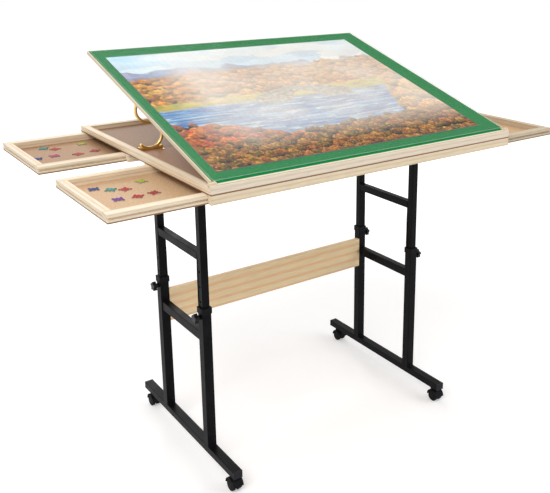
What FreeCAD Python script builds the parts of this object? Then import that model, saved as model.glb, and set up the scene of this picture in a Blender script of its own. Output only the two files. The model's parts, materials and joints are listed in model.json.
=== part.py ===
"""Jigsaw puzzle table with four drawers, a tilting felt board and telescoping steel legs on casters.

Frame: millimetres, +Z up, +X to the right, +Y to the rear. The origin is on the floor, under the middle of
the table. The table is modelled as it stands in use: drawers pulled out, board up on its two props, legs half
extended.
"""

import FreeCAD, Part

import math
import os

import Sketcher
from FreeCAD import Placement, Rotation, Vector

# Driving dimensions: alias -> (value, what it measures). Lengths in millimetres, angles in degrees.
SIZES = {
    # table top and tray
    "table_width": (900.0, "tray, left to right"),
    "tray_depth": (760.0, "tray, front to rear"),
    "deck_height": (800.0, "floor to the underside of the wooden base"),
    "base_height": (20.0, "height of aprons, runners and drawers' level"),
    "rail_height": (12.0, "height of the tray's side and rear rails above its floor"),
    "rail_width": (20.0, "width of the tray's side and rear rails"),
    "lip_height": (17.0, "height of the tray's front lip above its floor"),
    "lip_thickness": (3.0, "thickness of the tray's front lip"),
    "panel_thickness": (3.0, "hardboard floors"),
    "seam_gap": (2.0, "open seam between the tray's two floor panels"),
    "seam_place": (55.0, "seam behind the middle of the tray, over the rear runner"),
    "apron_thickness": (12.0, "front and rear aprons"),
    "runner_thickness": (12.0, "inner runners"),
    "runner_place": (61.0, "middle of the table to a runner's drawer side"),
    "tongue_height": (4.0, "tongue that a drawer runs on"),
    "tongue_depth": (5.0, "how far the tongue stands out"),
    "cross_rail_width": (16.0, "cross rail in the middle of the base"),
    # drawers
    "drawer_length": (430.0, "drawer, along its travel"),
    "drawer_pull": (214.0, "how far the left drawers stand open"),
    "right_drawer_pull": (198.0, "how far the right drawers stand open"),
    "drawer_side": (26.0, "width of a drawer's side rail"),
    "drawer_end": (18.0, "thickness of a drawer's end rails"),
    "drawer_gap": (1.0, "play between a drawer and its runners"),
    "level_gap": (0.6, "play above and below a drawer"),
    "groove_play": (0.5, "play between a tongue and its groove"),
    "pull_groove": (2.5, "shallow groove along a drawer's outer end"),
    # tilting board, puzzle and cover
    "board_width": (882.0, "board, left to right"),
    "board_depth": (716.5, "board, front to rear"),
    "board_thickness": (8.0, "plywood of the board"),
    "board_tilt": (16.8, "angle of the board on its props"),
    "board_clear": (0.3, "closed board above the side rails"),
    "lip_clear": (0.8, "board's rounded front edge behind the lip"),
    "felt_thickness": (1.0, "felt on the board"),
    "felt_margin": (3.0, "felt's edge to the board's edge"),
    "puzzle_width": (790.0, "finished puzzle, left to right"),
    "puzzle_depth": (616.0, "finished puzzle, front to rear"),
    "puzzle_thickness": (2.0, "puzzle board"),
    "puzzle_front": (43.0, "board's front edge to the puzzle"),
    "puzzle_shift": (-18.0, "puzzle's middle to the right of the board's"),
    "cover_width": (876.0, "clear sheet, left to right"),
    "cover_depth": (695.0, "clear sheet, front to rear"),
    "cover_thickness": (1.5, "clear sheet"),
    "cover_front": (10.0, "board's front edge to the sheet"),
    "cover_corner": (6.0, "radius of the clear sheet's corners"),
    "cover_gap": (0.1, "sheet above the puzzle"),
    "pin_diameter": (4.0, "board's pivot pins"),
    "pin_length": (30.0, "board's pivot pins"),
    "pin_play": (0.05, "play between a pin and the board, on the radius"),
    "block_length": (16.0, "pivot block, left to right"),
    "block_depth": (12.0, "pivot block, front to rear"),
    "block_height": (11.0, "pivot block above the side rail"),
    "block_clear": (0.5, "board's notch beside a pivot block"),
    "notch_clear": (4.0, "board's notch behind a pivot block"),
    # props
    "prop_place": (388.0, "middle of the table to a prop"),
    "prop_rod": (8.0, "rod that the props are bent from"),
    "prop_clear": (0.3, "prop below the board, and above the floor"),
    "prop_foot": (64.0, "straight foot of a prop, in its clips"),
    "clip_width": (6.0, "strap clip of a prop, left to right"),
    "clip_wall": (1.5, "strap clip's sheet"),
    "clip_ear": (10.0, "clip's ear, in front of the rod"),
    "clip_play": (0.05, "play between a prop's foot and its clips, on the radius"),
    # steel legs
    "frame_place": (346.0, "middle of the table to a side frame"),
    "post_spacing": (244.0, "front post to rear post"),
    "post_size": (25.0, "outer post, square tube"),
    "post_wall": (1.5, "outer post's wall"),
    "post_top": (445.0, "floor to the outer posts' tops"),
    "foot_length": (528.0, "floor bar, front to rear"),
    "foot_width": (25.0, "floor bar's tube"),
    "foot_height": (20.0, "floor bar's tube"),
    "foot_wall": (1.5, "floor bar's wall"),
    "foot_level": (40.0, "floor to the floor bar's underside"),
    "plug_length": (3.0, "end plug outside the tube"),
    "plug_insert": (12.0, "end plug inside the tube"),
    "crossbar_height": (25.0, "lower crossbar's tube"),
    "crossbar_width": (20.0, "lower crossbar's tube"),
    "crossbar_level": (354.0, "floor to the lower crossbar's underside"),
    "inner_size": (20.0, "inner post, square tube"),
    "inner_wall": (1.5, "inner post's wall"),
    "inner_bottom": (194.0, "floor to the inner posts' lower ends"),
    "rung_level": (572.0, "floor to the upper rung's underside"),
    "rung_height": (21.0, "upper rung's tube"),
    "rung_width": (20.0, "upper rung's tube"),
    "bar_width": (25.0, "flat top bar"),
    "bar_thickness": (4.0, "flat top bar"),
    "bar_screw_spacing": (12.0, "middle to middle of the two screws side by side in a top bar"),
    "index_pitch": (40.0, "holes along an inner post"),
    "index_hole": (7.0, "diameter of a hole in an inner post"),
    "collar_wall": (1.8, "plastic collar round an outer post"),
    "collar_skirt": (12.0, "collar's skirt below the post's top"),
    "collar_lip": (4.0, "collar above the post's top"),
    "collar_play": (0.35, "play between a collar and an inner post"),
    # clamp knobs
    "knob_drop": (21.0, "outer post's top down to its clamp knob"),
    "knob_radius": (13.0, "star knob, to the tips of its lobes"),
    "knob_waist": (9.5, "star knob, to the valleys between its lobes"),
    "knob_thickness": (10.0, "star knob"),
    "knob_lobe": (4.0, "radius of a lobe's tip"),
    "knob_neck": (5.0, "length of the star knob's neck"),
    "knob_neck_radius": (6.0, "star knob's neck"),
    "nut_height": (3.0, "weld nut on the outer post"),
    "nut_radius": (6.5, "weld nut on the outer post"),
    "nut_gap": (0.8, "weld nut to the knob's neck"),
    "clamp_screw": (6.0, "clamp screw's diameter"),
    "screw_play": (0.1, "clamp screw in its hole, on the radius"),
    "screw_end_gap": (0.3, "clamp screw's end before the inner post"),
    # stretcher
    "stretcher_height": (93.0, "wooden stretcher"),
    "stretcher_thickness": (16.0, "wooden stretcher"),
    "stretcher_level": (316.0, "floor to the stretcher's underside"),
    "plate_length": (40.0, "steel plate at the stretcher's end"),
    "plate_height": (60.0, "steel plate at the stretcher's end"),
    "plate_thickness": (2.0, "steel plate at the stretcher's end"),
    "wood_screw": (4.0, "wood screw's diameter"),
    "wood_screw_length": (12.0, "wood screw inside the wood"),
    "wood_screw_head": (8.0, "diameter of a wood screw's head"),
    "wood_screw_crown": (2.0, "height of a wood screw's head"),
    # casters
    "caster_inset": (26.0, "floor bar's end to the caster's stem"),
    "wheel_diameter": (32.0, "caster wheel"),
    "wheel_width": (10.0, "caster wheel"),
    "wheel_bevel": (1.5, "bevels of a wheel's tread, rim and hub"),
    "wheel_rim": (3.5, "width of a wheel's rim, seen from its side"),
    "wheel_spacing": (18.0, "middle to middle of a caster's two wheels"),
    "caster_trail": (9.0, "stem's axis to the wheels' axis"),
    "hood_margin": (1.0, "hood's reach past the wheels, left and right"),
    "hood_gap": (2.0, "hood above the wheels"),
    "hood_wall": (2.0, "hood's wall"),
    "web_width": (6.0, "caster's web between its wheels"),
    "axle_diameter": (5.0, "caster's axle"),
    "axle_play": (0.05, "play between axle and web, on the radius"),
    "stem_diameter": (8.0, "caster's stem"),
    "stem_play": (0.05, "play between stem and floor bar, on the radius"),
    "stem_height": (12.0, "stem inside the floor bar"),
    # loose puzzle pieces
    "piece_size": (19.0, "loose puzzle piece"),
    "piece_tab": (3.4, "radius of a piece's tab"),
}

VALUE = {alias: value for alias, (value, _) in SIZES.items()}
X_AXIS = Vector(1, 0, 0)
Y_AXIS = Vector(0, 1, 0)
Z_AXIS = Vector(0, 0, 1)
LEFT = -1
RIGHT = 1
FRONT = -1
REAR = 1
SIDE_NAMES = {LEFT: "left", RIGHT: "right"}
END_NAMES = {FRONT: "front", REAR: "rear"}


def cell(alias):
    """The expression that reads a driving dimension."""
    if alias not in SIZES:
        raise KeyError(alias)
    return "Sizes." + alias


def fill(text):
    """Turns words in braces into cells: '{table_width} / 2' -> 'Sizes.table_width / 2'."""
    return text.format(**{alias: cell(alias) for alias in SIZES})


# Levels and lines that several pieces share, as expressions.
BASE_TOP = "({deck_height} + {base_height})"
FLOOR_TOP = "({deck_height} + {base_height} + {panel_thickness})"
RAIL_TOP = "({deck_height} + {base_height} + {panel_thickness} + {rail_height})"
HALF_WIDTH = "({table_width} / 2)"
HALF_DEPTH = "({tray_depth} / 2)"
HALF_BOARD = "({board_width} / 2)"
DRAWER_FRONT = "({tray_depth} / 2 - {apron_thickness} - {drawer_gap})"
DRAWER_BACK = "({runner_place} + {drawer_gap})"
DRAWER_WIDTH = "(" + DRAWER_FRONT + " - " + DRAWER_BACK + ")"
DRAWER_HEIGHT = "({base_height} - 2 * {level_gap})"
DRAWER_OUTER = {
    LEFT: "({table_width} / 2 + {drawer_pull})",
    RIGHT: "({table_width} / 2 + {right_drawer_pull})",
}
BOARD_RADIUS = "({board_thickness} / 2)"
PIVOT_Y = "(-{tray_depth} / 2 + {lip_thickness} + {lip_clear} + {board_thickness} / 2)"
PIVOT_Z = "(" + RAIL_TOP + " + {board_clear} + {board_thickness} / 2)"
PROP_AXIS_Z = "(" + FLOOR_TOP + " + {prop_rod} / 2 + {prop_clear})"
BOARD_OVER_PROP = (
    "(" + PIVOT_Z + " + ({seam_place} - " + PIVOT_Y + ") * tan({board_tilt} * 1 deg)"
    " - ({board_thickness} / 2 + {prop_rod} / 2 + {prop_clear}) / cos({board_tilt} * 1 deg))"
)
PROP_RADIUS = "((" + BOARD_OVER_PROP + " - " + PROP_AXIS_Z + ") / 4)"
POST_INNER_FACE = "({frame_place} - {post_size} / 2)"
FOOT_TOP = "({foot_level} + {foot_height})"
KNOB_LEVEL = "({post_top} - {knob_drop})"
STEM_Y = "({foot_length} / 2 - {caster_inset})"


def make_sheet(doc):
    """Writes the driving dimensions into the spreadsheet."""
    sheet = doc.addObject("Spreadsheet::Sheet", "Sizes")
    for row, (alias, (value, meaning)) in enumerate(SIZES.items(), start=1):
        sheet.set(f"A{row}", alias)
        sheet.set(f"B{row}", repr(value))
        sheet.set(f"C{row}", meaning)
        sheet.setAlias(f"B{row}", alias)
    doc.recompute()
    return sheet


def bind(obj, prop, text):
    """Binds a property of an object to an expression of driving dimensions."""
    obj.setExpression(prop, fill(text))


def place(obj, x="0", y="0", z="0", axis=None, angle=None):
    """Binds an object's placement: a point, and a turn about an axis if it has one."""
    if axis is not None:
        obj.Placement = Placement(Vector(0, 0, 0), Rotation(axis, 10))
        bind(obj, "Placement.Rotation.Angle", f"({angle}) * 1 deg")
    for name, text in zip("xyz", (x, y, z)):
        bind(obj, f"Placement.Base.{name}", f"({text}) * 1 mm")


class Kit:
    """Makes bodies, sketches and features in one document, and keeps the list of finished nodes."""

    def __init__(self, doc):
        self.doc = doc
        self.nodes = {}

    def body(self, label):
        """A new PartDesign body with a label."""
        body = self.doc.addObject("PartDesign::Body", label)
        body.Label = label
        return body

    def sketch(self, body, plane, lift="0", name="Outline"):
        """A sketch on one of the body's origin planes, lifted along the plane's normal."""
        sketch = body.newObject("Sketcher::SketchObject", body.Label + "_" + name)
        role = plane + "_Plane"
        origin_plane = next(feature for feature in body.Origin.OriginFeatures if feature.Role == role)
        sketch.AttachmentSupport = [(origin_plane, "")]
        sketch.MapMode = "FlatFace"
        bind(sketch, "AttachmentOffset.Base.z", f"({lift}) * 1 mm")
        return sketch

    def pad(self, sketch, length, both_ways=False, backwards=False):
        """Pads a sketch; both_ways puts half the length on each side of its plane."""
        body = sketch.getParentGeoFeatureGroup()
        pad = body.newObject("PartDesign::Pad", sketch.Name + "_Pad")
        pad.Profile = sketch
        pad.Midplane = both_ways
        pad.Reversed = backwards
        bind(pad, "Length", f"({length}) * 1 mm")
        sketch.Visibility = False
        body.Tip = pad
        return pad

    def pocket(self, sketch, length, both_ways=False, backwards=False):
        """Cuts a sketch's outline out of its body."""
        body = sketch.getParentGeoFeatureGroup()
        pocket = body.newObject("PartDesign::Pocket", sketch.Name + "_Pocket")
        pocket.Profile = sketch
        pocket.Midplane = both_ways
        pocket.Reversed = backwards
        bind(pocket, "Length", f"({length}) * 1 mm")
        body.Tip = pocket
        return pocket

    def round_edges(self, body, wanted, radius, name="Rounding"):
        """Fillets the edges of the body's tip that a test picks."""
        fillet = self.dress_up(body, "PartDesign::Fillet", wanted, name)
        fillet.Radius = radius
        return fillet

    def bevel_edges(self, body, wanted, size):
        """Chamfers the edges of the body's tip that a test picks."""
        chamfer = self.dress_up(body, "PartDesign::Chamfer", wanted, "Bevel")
        chamfer.Size = size
        return chamfer

    def dress_up(self, body, kind, wanted, name):
        """A fillet or chamfer on the edges of the body's tip that a test picks."""
        self.doc.recompute()
        tip = body.Tip
        names = [f"Edge{n}" for n, edge in enumerate(tip.Shape.Edges, start=1) if wanted(edge)]
        feature = body.newObject(kind, body.Label + "_" + name)
        feature.Base = (tip, names)
        body.Tip = feature
        return feature

    def box(self, label, size, corner):
        """A Part::Box with its size and corner bound."""
        box = self.doc.addObject("Part::Box", label)
        box.Label = label
        for prop, text in zip(("Length", "Width", "Height"), size):
            bind(box, prop, f"({text}) * 1 mm")
        place(box, *corner)
        return box

    def cylinder(self, label, radius, height, corner, axis=None, angle=None):
        """A Part::Cylinder with its radius, height and foot bound."""
        cylinder = self.doc.addObject("Part::Cylinder", label)
        cylinder.Label = label
        bind(cylinder, "Radius", f"({radius}) * 1 mm")
        bind(cylinder, "Height", f"({height}) * 1 mm")
        place(cylinder, *corner, axis=axis, angle=angle)
        return cylinder

    def cut(self, label, base, tools):
        """The base less every tool."""
        tool = tools[0] if len(tools) == 1 else self.fuse(label + "_tools", tools)
        cut = self.doc.addObject("Part::Cut", label)
        cut.Label = label
        cut.Base = base
        cut.Tool = tool
        return cut

    def fuse(self, label, shapes):
        """Every shape joined into one."""
        fuse = self.doc.addObject("Part::MultiFuse", label)
        fuse.Label = label
        fuse.Shapes = shapes
        fuse.Refine = True
        return fuse

    def group(self, label, members):
        """Several separate solids that share one node."""
        compound = self.doc.addObject("Part::Compound", label)
        compound.Label = label
        compound.Links = members
        return self.node(compound)

    def node(self, obj):
        """Lists an object as a finished node, under its label."""
        self.nodes[obj.Label] = obj
        return obj


# A new outline starts as a rough shape of this radius, before its dimensions pull it to its own form.
ROUGH_RADIUS = 50.0


def polygon(sketch, points):
    """A closed outline through points given as pairs of expressions."""
    count = len(points)
    start = len(sketch.Geometry)
    angles = [2 * math.pi * n / count for n in range(count)]
    rough = [Vector(math.cos(angle), math.sin(angle), 0) * ROUGH_RADIUS for angle in angles]
    lines = [Part.LineSegment(rough[n], rough[(n + 1) % count]) for n in range(count)]
    sketch.addGeometry(lines, False)
    for n in range(count):
        following = start + (n + 1) % count
        sketch.addConstraint(Sketcher.Constraint("Coincident", start + n, 2, following, 1))
    for n, point in enumerate(points):
        for kind, text in zip(("DistanceX", "DistanceY"), point):
            index = sketch.addConstraint(Sketcher.Constraint(kind, -1, 1, start + n, 1, 10.0))
            bind(sketch, f"Constraints[{index}]", f"({text}) * 1 mm")


def rectangle(sketch, width, height, x="0", y="0"):
    """A rectangle of a width and height, with its middle at a point."""
    left, right = f"{x} - ({width}) / 2", f"{x} + ({width}) / 2"
    low, high = f"{y} - ({height}) / 2", f"{y} + ({height}) / 2"
    polygon(sketch, [(left, low), (right, low), (right, high), (left, high)])


def circle(sketch, radius, x="0", y="0"):
    """A circle with its middle at a point."""
    index = sketch.addGeometry(Part.Circle(Vector(10, 10, 0), Z_AXIS, 5.0), False)
    radial = sketch.addConstraint(Sketcher.Constraint("Radius", index, 5.0))
    bind(sketch, f"Constraints[{radial}]", f"({radius}) * 1 mm")
    for kind, text in (("DistanceX", x), ("DistanceY", y)):
        number = sketch.addConstraint(Sketcher.Constraint(kind, -1, 1, index, 3, 10.0))
        bind(sketch, f"Constraints[{number}]", f"({text}) * 1 mm")


def runs_along(direction):
    """A test for straight edges that run along a direction."""
    def test(edge):
        if not isinstance(edge.Curve, Part.Line):
            return False
        return abs(edge.tangentAt(edge.FirstParameter).dot(direction)) > 0.999
    return test


def outer_corner(direction, reach):
    """A test for the edges along a direction that lie further than a reach from the body's axis."""
    straight = runs_along(direction)

    def test(edge):
        middle = edge.valueAt((edge.FirstParameter + edge.LastParameter) / 2)
        return straight(edge) and (middle - direction * middle.dot(direction)).Length > reach

    return test


def square_tube(kit, label, plane, size, wall, length, both_ways=True):
    """A tube of rectangular section with rounded outer corners, padded from the middle of its section."""
    width, height = size
    directions = {"XY": Z_AXIS, "XZ": Y_AXIS, "YZ": X_AXIS}
    body = kit.body(label)
    section = kit.sketch(body, plane, name="Section")
    rectangle(section, width, height)
    rectangle(section, f"{width} - 2 * {wall}", f"{height} - 2 * {wall}")
    kit.pad(section, length, both_ways)
    half_width, half_height = VALUE[width.strip("{}")] / 2, VALUE[height.strip("{}")] / 2
    thickness = VALUE[wall.strip("{}")]
    reach = math.hypot(half_width - thickness / 2, half_height - thickness / 2)
    kit.round_edges(body, outer_corner(directions[plane], reach), thickness, "Corners")
    return body


def oblong(width, height, low="0"):
    """The corners of a plain rectangular section that starts at zero and a low level."""
    return [("0", low), (width, low), (width, height), ("0", height)]


def strip(kit, label, plane, outline, length):
    """A wooden strip of constant section: an outline of points, padded both ways from its middle."""
    body = kit.body(label)
    section = kit.sketch(body, plane, name="Section")
    polygon(section, outline)
    kit.pad(section, length, both_ways=True)
    return body


def copies(kit, label, master, x, y, z, axis=None, angle=None):
    """A node that holds a copy of a master shape at a place of its own."""
    copy = kit.doc.addObject("Part::Compound", label)
    copy.Label = label
    copy.Links = [master]
    place(copy, x, y, z, axis, angle)
    return copy


def corners():
    """The four corners of the legs: side, end, and the name made of both."""
    for side in (LEFT, RIGHT):
        for end in (FRONT, REAR):
            yield side, end, f"{SIDE_NAMES[side]}_{END_NAMES[end]}"


def faces_out(side):
    """The turn about Z that points a piece's +X face away from the table."""
    return "180" if side == LEFT else "0"


# ---------------------------------------------------------------- steel legs


def make_floor_bars(kit):
    """Two floor bars with a hole below each end for a caster's stem, and their end plugs."""
    master = square_tube(
        kit, "floor_bar", "XZ", ("{foot_width}", "{foot_height}"), "{foot_wall}", "{foot_length}"
    )
    holes = kit.sketch(master, "XY", "-{foot_height} / 2", "StemHoles")
    for end in (FRONT, REAR):
        circle(holes, "{stem_diameter} / 2 + {stem_play}", "0", f"{end} * {STEM_Y}")
    kit.pocket(holes, "2 * {foot_wall}", backwards=True)

    plug = kit.body("end_plug")
    cap = kit.sketch(plug, "XZ", name="Cap")
    rectangle(cap, "{foot_width}", "{foot_height}")
    kit.pad(cap, "{plug_length}")
    insert = kit.sketch(plug, "XZ", name="Insert")
    rectangle(insert, "{foot_width} - 2 * {foot_wall}", "{foot_height} - 2 * {foot_wall}")
    kit.pad(insert, "{plug_insert}", backwards=True)
    kit.round_edges(plug, lambda edge: edge.BoundBox.YMax < -VALUE["plug_length"] + 0.01, 1.0)

    middle = "{foot_level} + {foot_height} / 2"
    plugs = []
    for side in (LEFT, RIGHT):
        x = f"{side} * " + "{frame_place}"
        kit.node(copies(kit, f"{SIDE_NAMES[side]}_floor_bar", master, x, "0", middle))
        for end in (FRONT, REAR):
            name = f"plug_{SIDE_NAMES[side]}_{END_NAMES[end]}"
            turn = "0" if end == FRONT else "180"
            y = f"{end} * " + "{foot_length} / 2"
            plugs.append(copies(kit, name, plug, x, y, middle, Z_AXIS, turn))
    kit.group("floor_bar_plugs", plugs)


def make_outer_posts(kit):
    """Four outer posts, each with a weld nut for its clamp screw on the outer face."""
    length = "{post_top} - " + FOOT_TOP
    master = square_tube(
        kit, "outer_post", "XY", ("{post_size}", "{post_size}"), "{post_wall}", length, False
    )
    knob = KNOB_LEVEL + " - " + FOOT_TOP
    nut = kit.sketch(master, "YZ", "{post_size} / 2", "WeldNut")
    circle(nut, "{nut_radius}", "0", knob)
    kit.pad(nut, "{nut_height}")
    hole = kit.sketch(master, "YZ", "{post_size} / 2 + {nut_height}", "ScrewHole")
    circle(hole, "{clamp_screw} / 2 + {screw_play}", "0", knob)
    kit.pocket(hole, "{nut_height} + 2 * {post_wall}")
    for side, end, name in corners():
        x = f"{side} * " + "{frame_place}"
        y = f"{end} * " + "{post_spacing} / 2"
        kit.node(copies(kit, f"{name}_outer_post", master, x, y, FOOT_TOP, Z_AXIS, faces_out(side)))


def make_crossbars(kit):
    """The lower crossbar of each side, between its outer posts."""
    master = square_tube(
        kit, "crossbar", "XZ", ("{crossbar_width}", "{crossbar_height}"), "{post_wall}",
        "{post_spacing} - {post_size}",
    )
    middle = "{crossbar_level} + {crossbar_height} / 2"
    for side in (LEFT, RIGHT):
        x = f"{side} * " + "{frame_place}"
        kit.node(copies(kit, f"{SIDE_NAMES[side]}_crossbar", master, x, "0", middle))


def make_collars(kit):
    """A plastic collar on each outer post: a lip round the inner post and a skirt round the outer one."""
    master = kit.body("collar")
    outside = "{post_size} + 2 * {collar_wall}"
    lip = kit.sketch(master, "XY", name="Lip")
    rectangle(lip, outside, outside)
    rectangle(lip, "{inner_size} + 2 * {collar_play}", "{inner_size} + 2 * {collar_play}")
    kit.pad(lip, "{collar_lip}")
    skirt = kit.sketch(master, "XY", name="Skirt")
    rectangle(skirt, outside, outside)
    rectangle(skirt, "{post_size}", "{post_size}")
    kit.pad(skirt, "{collar_skirt}", backwards=True)
    reach = (VALUE["post_size"] / 2 + VALUE["collar_wall"] / 2) * math.sqrt(2)
    kit.round_edges(master, outer_corner(Z_AXIS, reach), VALUE["collar_wall"], "Corners")
    members = []
    for side, end, name in corners():
        x = f"{side} * " + "{frame_place}"
        y = f"{end} * " + "{post_spacing} / 2"
        members.append(copies(kit, "collar_" + name, master, x, y, "{post_top}"))
    kit.group("post_collars", members)


def make_clamp_knobs(kit):
    """Four star knobs: five lobes round a disc, a neck, and the screw that enters the post."""
    lobes = 5
    knob = kit.body("star_knob")
    disc = kit.sketch(knob, "YZ", name="Disc")
    circle(disc, "{knob_waist}")
    kit.pad(disc, "{knob_thickness}")
    lobe = kit.sketch(knob, "YZ", name="Lobe")
    circle(lobe, "{knob_lobe}", "0", "{knob_radius} - {knob_lobe}")
    lobe_pad = kit.pad(lobe, "{knob_thickness}")
    star = knob.newObject("PartDesign::PolarPattern", "star_knob_Lobes")
    star.Originals = [lobe_pad]
    star.Axis = (disc, ["N_Axis"])
    star.Angle = 360
    star.Occurrences = lobes
    knob.Tip = star
    kit.bevel_edges(knob, lambda edge: edge.BoundBox.XMin > VALUE["knob_thickness"] - 0.01, 1.0)
    neck = kit.sketch(knob, "YZ", name="Neck")
    circle(neck, "{knob_neck_radius}")
    kit.pad(neck, "{knob_neck}", backwards=True)
    screw = kit.sketch(knob, "YZ", name="Screw")
    circle(screw, "{clamp_screw} / 2")
    face = "{post_size} / 2 + {nut_height} + {nut_gap} + {knob_neck}"
    kit.pad(screw, face + " - {inner_size} / 2 - {screw_end_gap}", backwards=True)
    for side, end, name in corners():
        x = f"{side} * (" + "{frame_place} + " + face + ")"
        y = f"{end} * " + "{post_spacing} / 2"
        kit.node(copies(kit, f"{name}_clamp_knob", knob, x, y, KNOB_LEVEL, Z_AXIS, faces_out(side)))


def make_upper_frames(kit):
    """Each side's welded upper frame: two inner posts with index holes, a rung, and a flat top bar."""
    post = square_tube(
        kit, "inner_post", "XY", ("{inner_size}", "{inner_size}"), "{inner_wall}",
        "{deck_height} - {bar_thickness} - {inner_bottom}", False,
    )
    hole = kit.sketch(post, "YZ", "{inner_size} / 2", "IndexHole")
    holes_above, holes_below = 3, 5
    lowest = KNOB_LEVEL + f" - {holes_below} * " + "{index_pitch} - {inner_bottom}"
    circle(hole, "{index_hole} / 2", "0", lowest)
    first = kit.pocket(hole, "2 * {inner_wall}")
    row = post.newObject("PartDesign::LinearPattern", "inner_post_Holes")
    row.Originals = [first]
    row.Direction = (hole, ["V_Axis"])
    row.Occurrences = holes_below + 1 + holes_above
    bind(row, "Length", f"{holes_below + holes_above} * " + "{index_pitch} * 1 mm")
    post.Tip = row

    rung = square_tube(
        kit, "rung", "XZ", ("{rung_width}", "{rung_height}"), "{inner_wall}", "{post_spacing} - {inner_size}"
    )
    bar = kit.body("top_bar")
    outline = kit.sketch(bar, "XY", name="Outline")
    rectangle(outline, "{bar_width}", "{tray_depth} - 2 * {apron_thickness}")
    for x, y in bar_screw_places():
        circle(outline, "{wood_screw} / 2", x, y)
    kit.pad(outline, "{bar_thickness}")

    for side in (LEFT, RIGHT):
        name = SIDE_NAMES[side]
        x = f"{side} * " + "{frame_place}"
        parts = [
            copies(kit, f"{name}_{END_NAMES[end]}_inner_post", post, x, f"{end} * " + "{post_spacing} / 2",
                   "{inner_bottom}", Z_AXIS, faces_out(side))
            for end in (FRONT, REAR)
        ]
        parts.append(copies(kit, f"{name}_rung", rung, x, "0", "{rung_level} + {rung_height} / 2"))
        parts.append(copies(kit, f"{name}_top_bar", bar, x, "0", "{deck_height} - {bar_thickness}"))
        kit.group(f"{name}_upper_frame", parts)


def bar_screw_places():
    """Where a top bar is screwed to the runners: two screws side by side in each runner."""
    apart, line = "{bar_screw_spacing} / 2", "({runner_place} - {runner_thickness} / 2)"
    return [(f"{across} * {apart}", f"{end} * {line}") for end in (FRONT, REAR) for across in (LEFT, RIGHT)]


def wood_screw(kit, label):
    """A pan-head wood screw that points up, with its head's top face at its origin."""
    screw = kit.body(label)
    section = kit.sketch(screw, "XZ", name="Section")
    grip = "{wood_screw_length} + {" + ("bar_thickness" if label == "bar_screw" else "plate_thickness") + "}"
    polygon(section, [
        ("0", "-{wood_screw_crown}"),
        ("{wood_screw_head} / 2 - {wood_screw_crown} / 2", "-{wood_screw_crown}"),
        ("{wood_screw_head} / 2", "0"), ("{wood_screw} / 2", "0"),
        ("{wood_screw} / 2", grip + " - {wood_screw} / 2"), ("0", grip),
    ])
    turn = screw.newObject("PartDesign::Revolution", label + "_Turn")
    turn.Profile = section
    turn.ReferenceAxis = (section, ["V_Axis"])
    turn.Angle = 360
    screw.Tip = turn
    return screw


def make_bar_screws(kit):
    """The screws that hold the top bars to the runners, from below."""
    master = wood_screw(kit, "bar_screw")
    members = []
    for side in (LEFT, RIGHT):
        for number, (across, y) in enumerate(bar_screw_places()):
            name = f"bar_screw_{SIDE_NAMES[side]}_{number}"
            x = f"{side} * " + "{frame_place}" + f" + {across}"
            members.append(copies(kit, name, master, x, y, "{deck_height} - {bar_thickness}"))
    kit.group("top_bar_screws", members)


# ---------------------------------------------------------------- stretcher


def stretcher_screw_places():
    """Where a stretcher plate's screws go: distance inward from the post, and height about its middle."""
    return [("{plate_length} / 2", f"{sign} * " + "{plate_height} / 3") for sign in (-1, 1)]


def make_stretcher(kit):
    """The wooden stretcher between the rear posts, its two steel plates and their screws."""
    board = kit.body("stretcher_board")
    face = kit.sketch(board, "XZ", "-{stretcher_thickness}", "Face")
    rectangle(face, "2 * " + POST_INNER_FACE, "{stretcher_height}")
    kit.pad(face, "{stretcher_thickness}")
    kit.round_edges(board, runs_along(X_AXIS), 1.5)
    pilots = kit.sketch(board, "XZ", "-{stretcher_thickness}", "Pilots")
    for side in (LEFT, RIGHT):
        for inward, height in stretcher_screw_places():
            circle(pilots, "{wood_screw} / 2", f"{side} * (" + POST_INNER_FACE + f" - {inward})", height)
    kit.pocket(pilots, "{wood_screw_length}", backwards=True)
    front = "{post_spacing} / 2 - {post_size} / 2"
    middle = "{stretcher_level} + {stretcher_height} / 2"
    place(board, "0", front, middle)
    kit.node(board)

    plate = kit.body("plate")
    outline = kit.sketch(plate, "XZ", name="Outline")
    rectangle(outline, "{plate_length}", "{plate_height}")
    for inward, height in stretcher_screw_places():
        circle(outline, "{wood_screw} / 2", f"{inward} - " + "{plate_length} / 2", height)
    kit.pad(outline, "{plate_thickness}", backwards=True)
    screw = wood_screw(kit, "plate_screw")
    plates, screws = [], []
    back = front + " + {stretcher_thickness}"
    for side in (LEFT, RIGHT):
        name = SIDE_NAMES[side]
        x = f"{side} * (" + POST_INNER_FACE + " - {plate_length} / 2)"
        plates.append(copies(kit, "plate_" + name, plate, x, back, middle))
        for number, (inward, height) in enumerate(stretcher_screw_places()):
            place_x = f"{side} * (" + POST_INNER_FACE + f" - {inward})"
            screws.append(copies(kit, f"plate_screw_{name}_{number}", screw, place_x,
                                 back + " + {plate_thickness}", middle + f" + {height}", X_AXIS, "90"))
    kit.group("stretcher_plates", plates)
    kit.group("stretcher_screws", screws)


# ---------------------------------------------------------------- casters


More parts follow.
